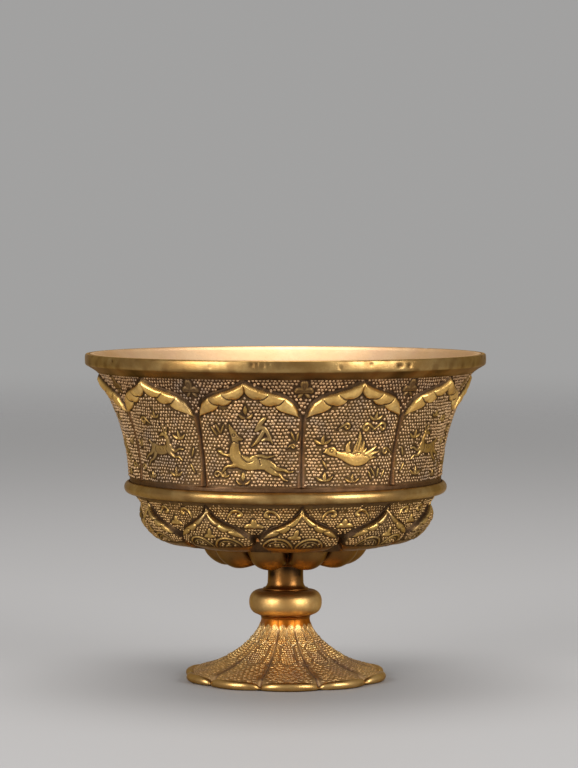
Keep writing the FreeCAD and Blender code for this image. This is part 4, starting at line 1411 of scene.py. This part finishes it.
def gilt_material(name, colours, copper, tarnish, roughness, bump):
    """A gilt finish whose polish, darkening by dirt and painted shade, rouge and shade come from the
    piece's own numbers.
    """
    material, tree, shader = new_material(name)
    group = add_node(tree, "ShaderNodeGroup", node_tree=aged_gold)
    for label, colour in zip(gold_colours, colours):
        group.inputs[label].default_value = (*colour, 1)
    for label, amount in zip(finish_amounts, (copper, tarnish, *roughness)):
        group.inputs[label].default_value = amount
    for label in piece_numbers:
        reader = add_node(tree, "ShaderNodeAttribute", attribute_name=label.lower())
        tree.links.new(reader.outputs["Fac"], group.inputs[label])
    relief = add_node(tree, "ShaderNodeBump", {"Strength": bump, "Distance": 0.0001})
    tree.links.new(group.outputs["Height"], relief.inputs["Height"])
    tree.links.new(group.outputs["Colour"], shader.inputs["Base Color"])
    tree.links.new(group.outputs["Roughness"], shader.inputs["Roughness"])
    tree.links.new(relief.outputs["Normal"], shader.inputs["Normal"])
    shader.inputs["Metallic"].default_value = 1.0
    shader.inputs["Specular Tint"].default_value = (0.75, 0.6, 0.42, 1)
    return material


aged_gold = aged_gold_group()

# The colours of each finish are its gold, pale gold, copper, patina and tarnish
chased_gilt = gilt_material(
    "chased_gilt",
    (
        (0.64, 0.38, 0.105), (0.85, 0.55, 0.18), (0.33, 0.15, 0.057), (0.075, 0.043, 0.023),
        (0.24, 0.17, 0.11),
    ),
    copper=0.3, tarnish=0.4, roughness=(0.3, 0.6), bump=0.4,
)
dot_gilt = gilt_material(
    "dot_gilt",
    ((0.7, 0.45, 0.225), (0.86, 0.6, 0.33), (0.44, 0.245, 0.125), (0.08, 0.046, 0.028), (0.27, 0.21, 0.17)),
    copper=0.35, tarnish=0.6, roughness=(0.46, 0.62), bump=0.2,
)
petal_dot_gilt = gilt_material(
    "petal_dot_gilt",
    ((0.57, 0.35, 0.145), (0.74, 0.5, 0.22), (0.37, 0.2, 0.09), (0.06, 0.034, 0.019), (0.28, 0.18, 0.1)),
    copper=0.35, tarnish=0.5, roughness=(0.42, 0.6), bump=0.2,
)
foot_gilt = gilt_material(
    "foot_gilt",
    ((0.92, 0.57, 0.2), (1.0, 0.76, 0.34), (0.36, 0.105, 0.01), (0.2, 0.125, 0.095), (0.52, 0.32, 0.19)),
    copper=0.12, tarnish=0.6, roughness=(0.3, 0.55), bump=0.4,
)
plain_gilt = gilt_material(
    "plain_gilt",
    ((0.46, 0.27, 0.088), (0.62, 0.4, 0.15), (0.35, 0.15, 0.04), (0.07, 0.035, 0.012), (0.27, 0.15, 0.055)),
    copper=0.3, tarnish=0.4, roughness=(0.3, 0.54), bump=0.15,
)
stem_gilt = gilt_material(
    "stem_gilt",
    ((0.36, 0.17, 0.045), (0.46, 0.26, 0.08), (0.27, 0.1, 0.02), (0.03, 0.015, 0.007), (0.12, 0.07, 0.03)),
    copper=0.4, tarnish=0.5, roughness=(0.28, 0.5), bump=0.2,
)
lining_gilt = gilt_material(
    "lining_gilt",
    ((0.82, 0.53, 0.28), (0.88, 0.61, 0.36), (0.74, 0.44, 0.24), (0.3, 0.17, 0.08), (0.78, 0.49, 0.3)),
    copper=0.15, tarnish=0.5, roughness=(0.42, 0.55), bump=0.2,
)
solder_metal = gilt_material(
    "old_solder",
    ((0.3, 0.16, 0.06), (0.4, 0.24, 0.1), (0.25, 0.1, 0.04), (0.03, 0.02, 0.01), (0.15, 0.09, 0.04)),
    copper=0.5, tarnish=0.4, roughness=(0.4, 0.7), bump=0.4,
)


# The pieces

for lobe in range(lobe_count):
    wall_panel(lobe)
    petal_sector(lobe)
    foot_sector(lobe)
lip_band()
waist_bead()
bowl_lining()
calyx()
stem_neck()
knop()
foot_edge()
fillet("neck_fillet", "neck_solder", neck_radius, calyx_bottom, size=0.4, up=-1)
fillet("knop_top_fillet", "knop_top_solder", neck_flare_radius, knop_top, size=0.35, up=1)
fillet("knop_bottom_fillet", "knop_bottom_solder", foot_waist_radius - 0.1, foot_height, size=0.62, up=-1)
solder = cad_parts["calyx_solder"]
solder.data.materials.clear()
solder.data.materials.append(solder_metal)


# Floor, lights and camera, in metres

# The floor fades out between two distances from the cup
floor_radius, fade_start, fade_end = 1.6, 0.25, 1.4
# What the lights look at, about halfway up the cup
lit_place = Vector((0, 0, 0.035))
# Where the photo was taken from, by the cup's perspective in it, and how many degrees down it looks
view_place, view_down = (0.00066, -0.612, 0.0849), 2.7


def pale_floor():
    """A level floor that fades into the pale room around it."""
    bm = bmesh.new()
    bmesh.ops.create_circle(bm, cap_ends=True, segments=96, radius=floor_radius)
    mesh = mesh_from("floor", bm)
    material, tree, shader = new_material("floor_paper")
    place = add_node(tree, "ShaderNodeTexCoord")
    away = add_node(tree, "ShaderNodeVectorMath", operation="LENGTH")
    tree.links.new(place.outputs["Object"], away.inputs[0])
    faded = remapped(tree, away.outputs["Value"], fade_start, fade_end, 1.0, 0.0)
    tree.links.new(faded, shader.inputs["Alpha"])
    shader.inputs["Base Color"].default_value = (0.4, 0.39, 0.385, 1)
    shader.inputs["Roughness"].default_value = 0.6
    mesh.materials.append(material)
    floor = bpy.data.objects.new("floor", mesh)
    bpy.context.scene.collection.objects.link(floor)


def soft_light(name, place, width, tall, power):
    """A rectangular area light that looks at the cup."""
    lamp = bpy.data.lights.new(name, "AREA")
    lamp.shape = "RECTANGLE"
    lamp.size = width
    lamp.size_y = tall
    lamp.energy = power
    light = bpy.data.objects.new(name, lamp)
    light.location = place
    light.rotation_euler = (lit_place - Vector(place)).to_track_quat("-Z", "Y").to_euler()
    bpy.context.scene.collection.objects.link(light)


pale_floor()
soft_light("left_light", (-0.5, -0.5, 0.25), width=0.34, tall=0.44, power=3.6)
soft_light("right_light", (0.53, -0.46, 0.25), width=0.34, tall=0.44, power=3.6)
soft_light("top_light", (0.0, 0.1, 0.75), width=0.5, tall=0.5, power=3.6)

room = bpy.data.worlds.new("room")
bpy.context.scene.world = room
room.use_nodes = True
backdrop = room.node_tree.nodes["Background"]
backdrop.inputs["Color"].default_value = (0.5, 0.495, 0.49, 1)
backdrop.inputs["Strength"].default_value = 0.72

viewer = bpy.data.cameras.new("viewer")
viewer.lens = 151.55
viewer.sensor_width = 36
viewer.clip_end = 10
camera = bpy.data.objects.new("viewer", viewer)
camera.location = view_place
camera.rotation_euler = (math.radians(90 - view_down), 0, 0)
bpy.context.scene.collection.objects.link(camera)
bpy.context.scene.camera = camera
bpy.context.scene.view_settings.view_transform = "Standard"
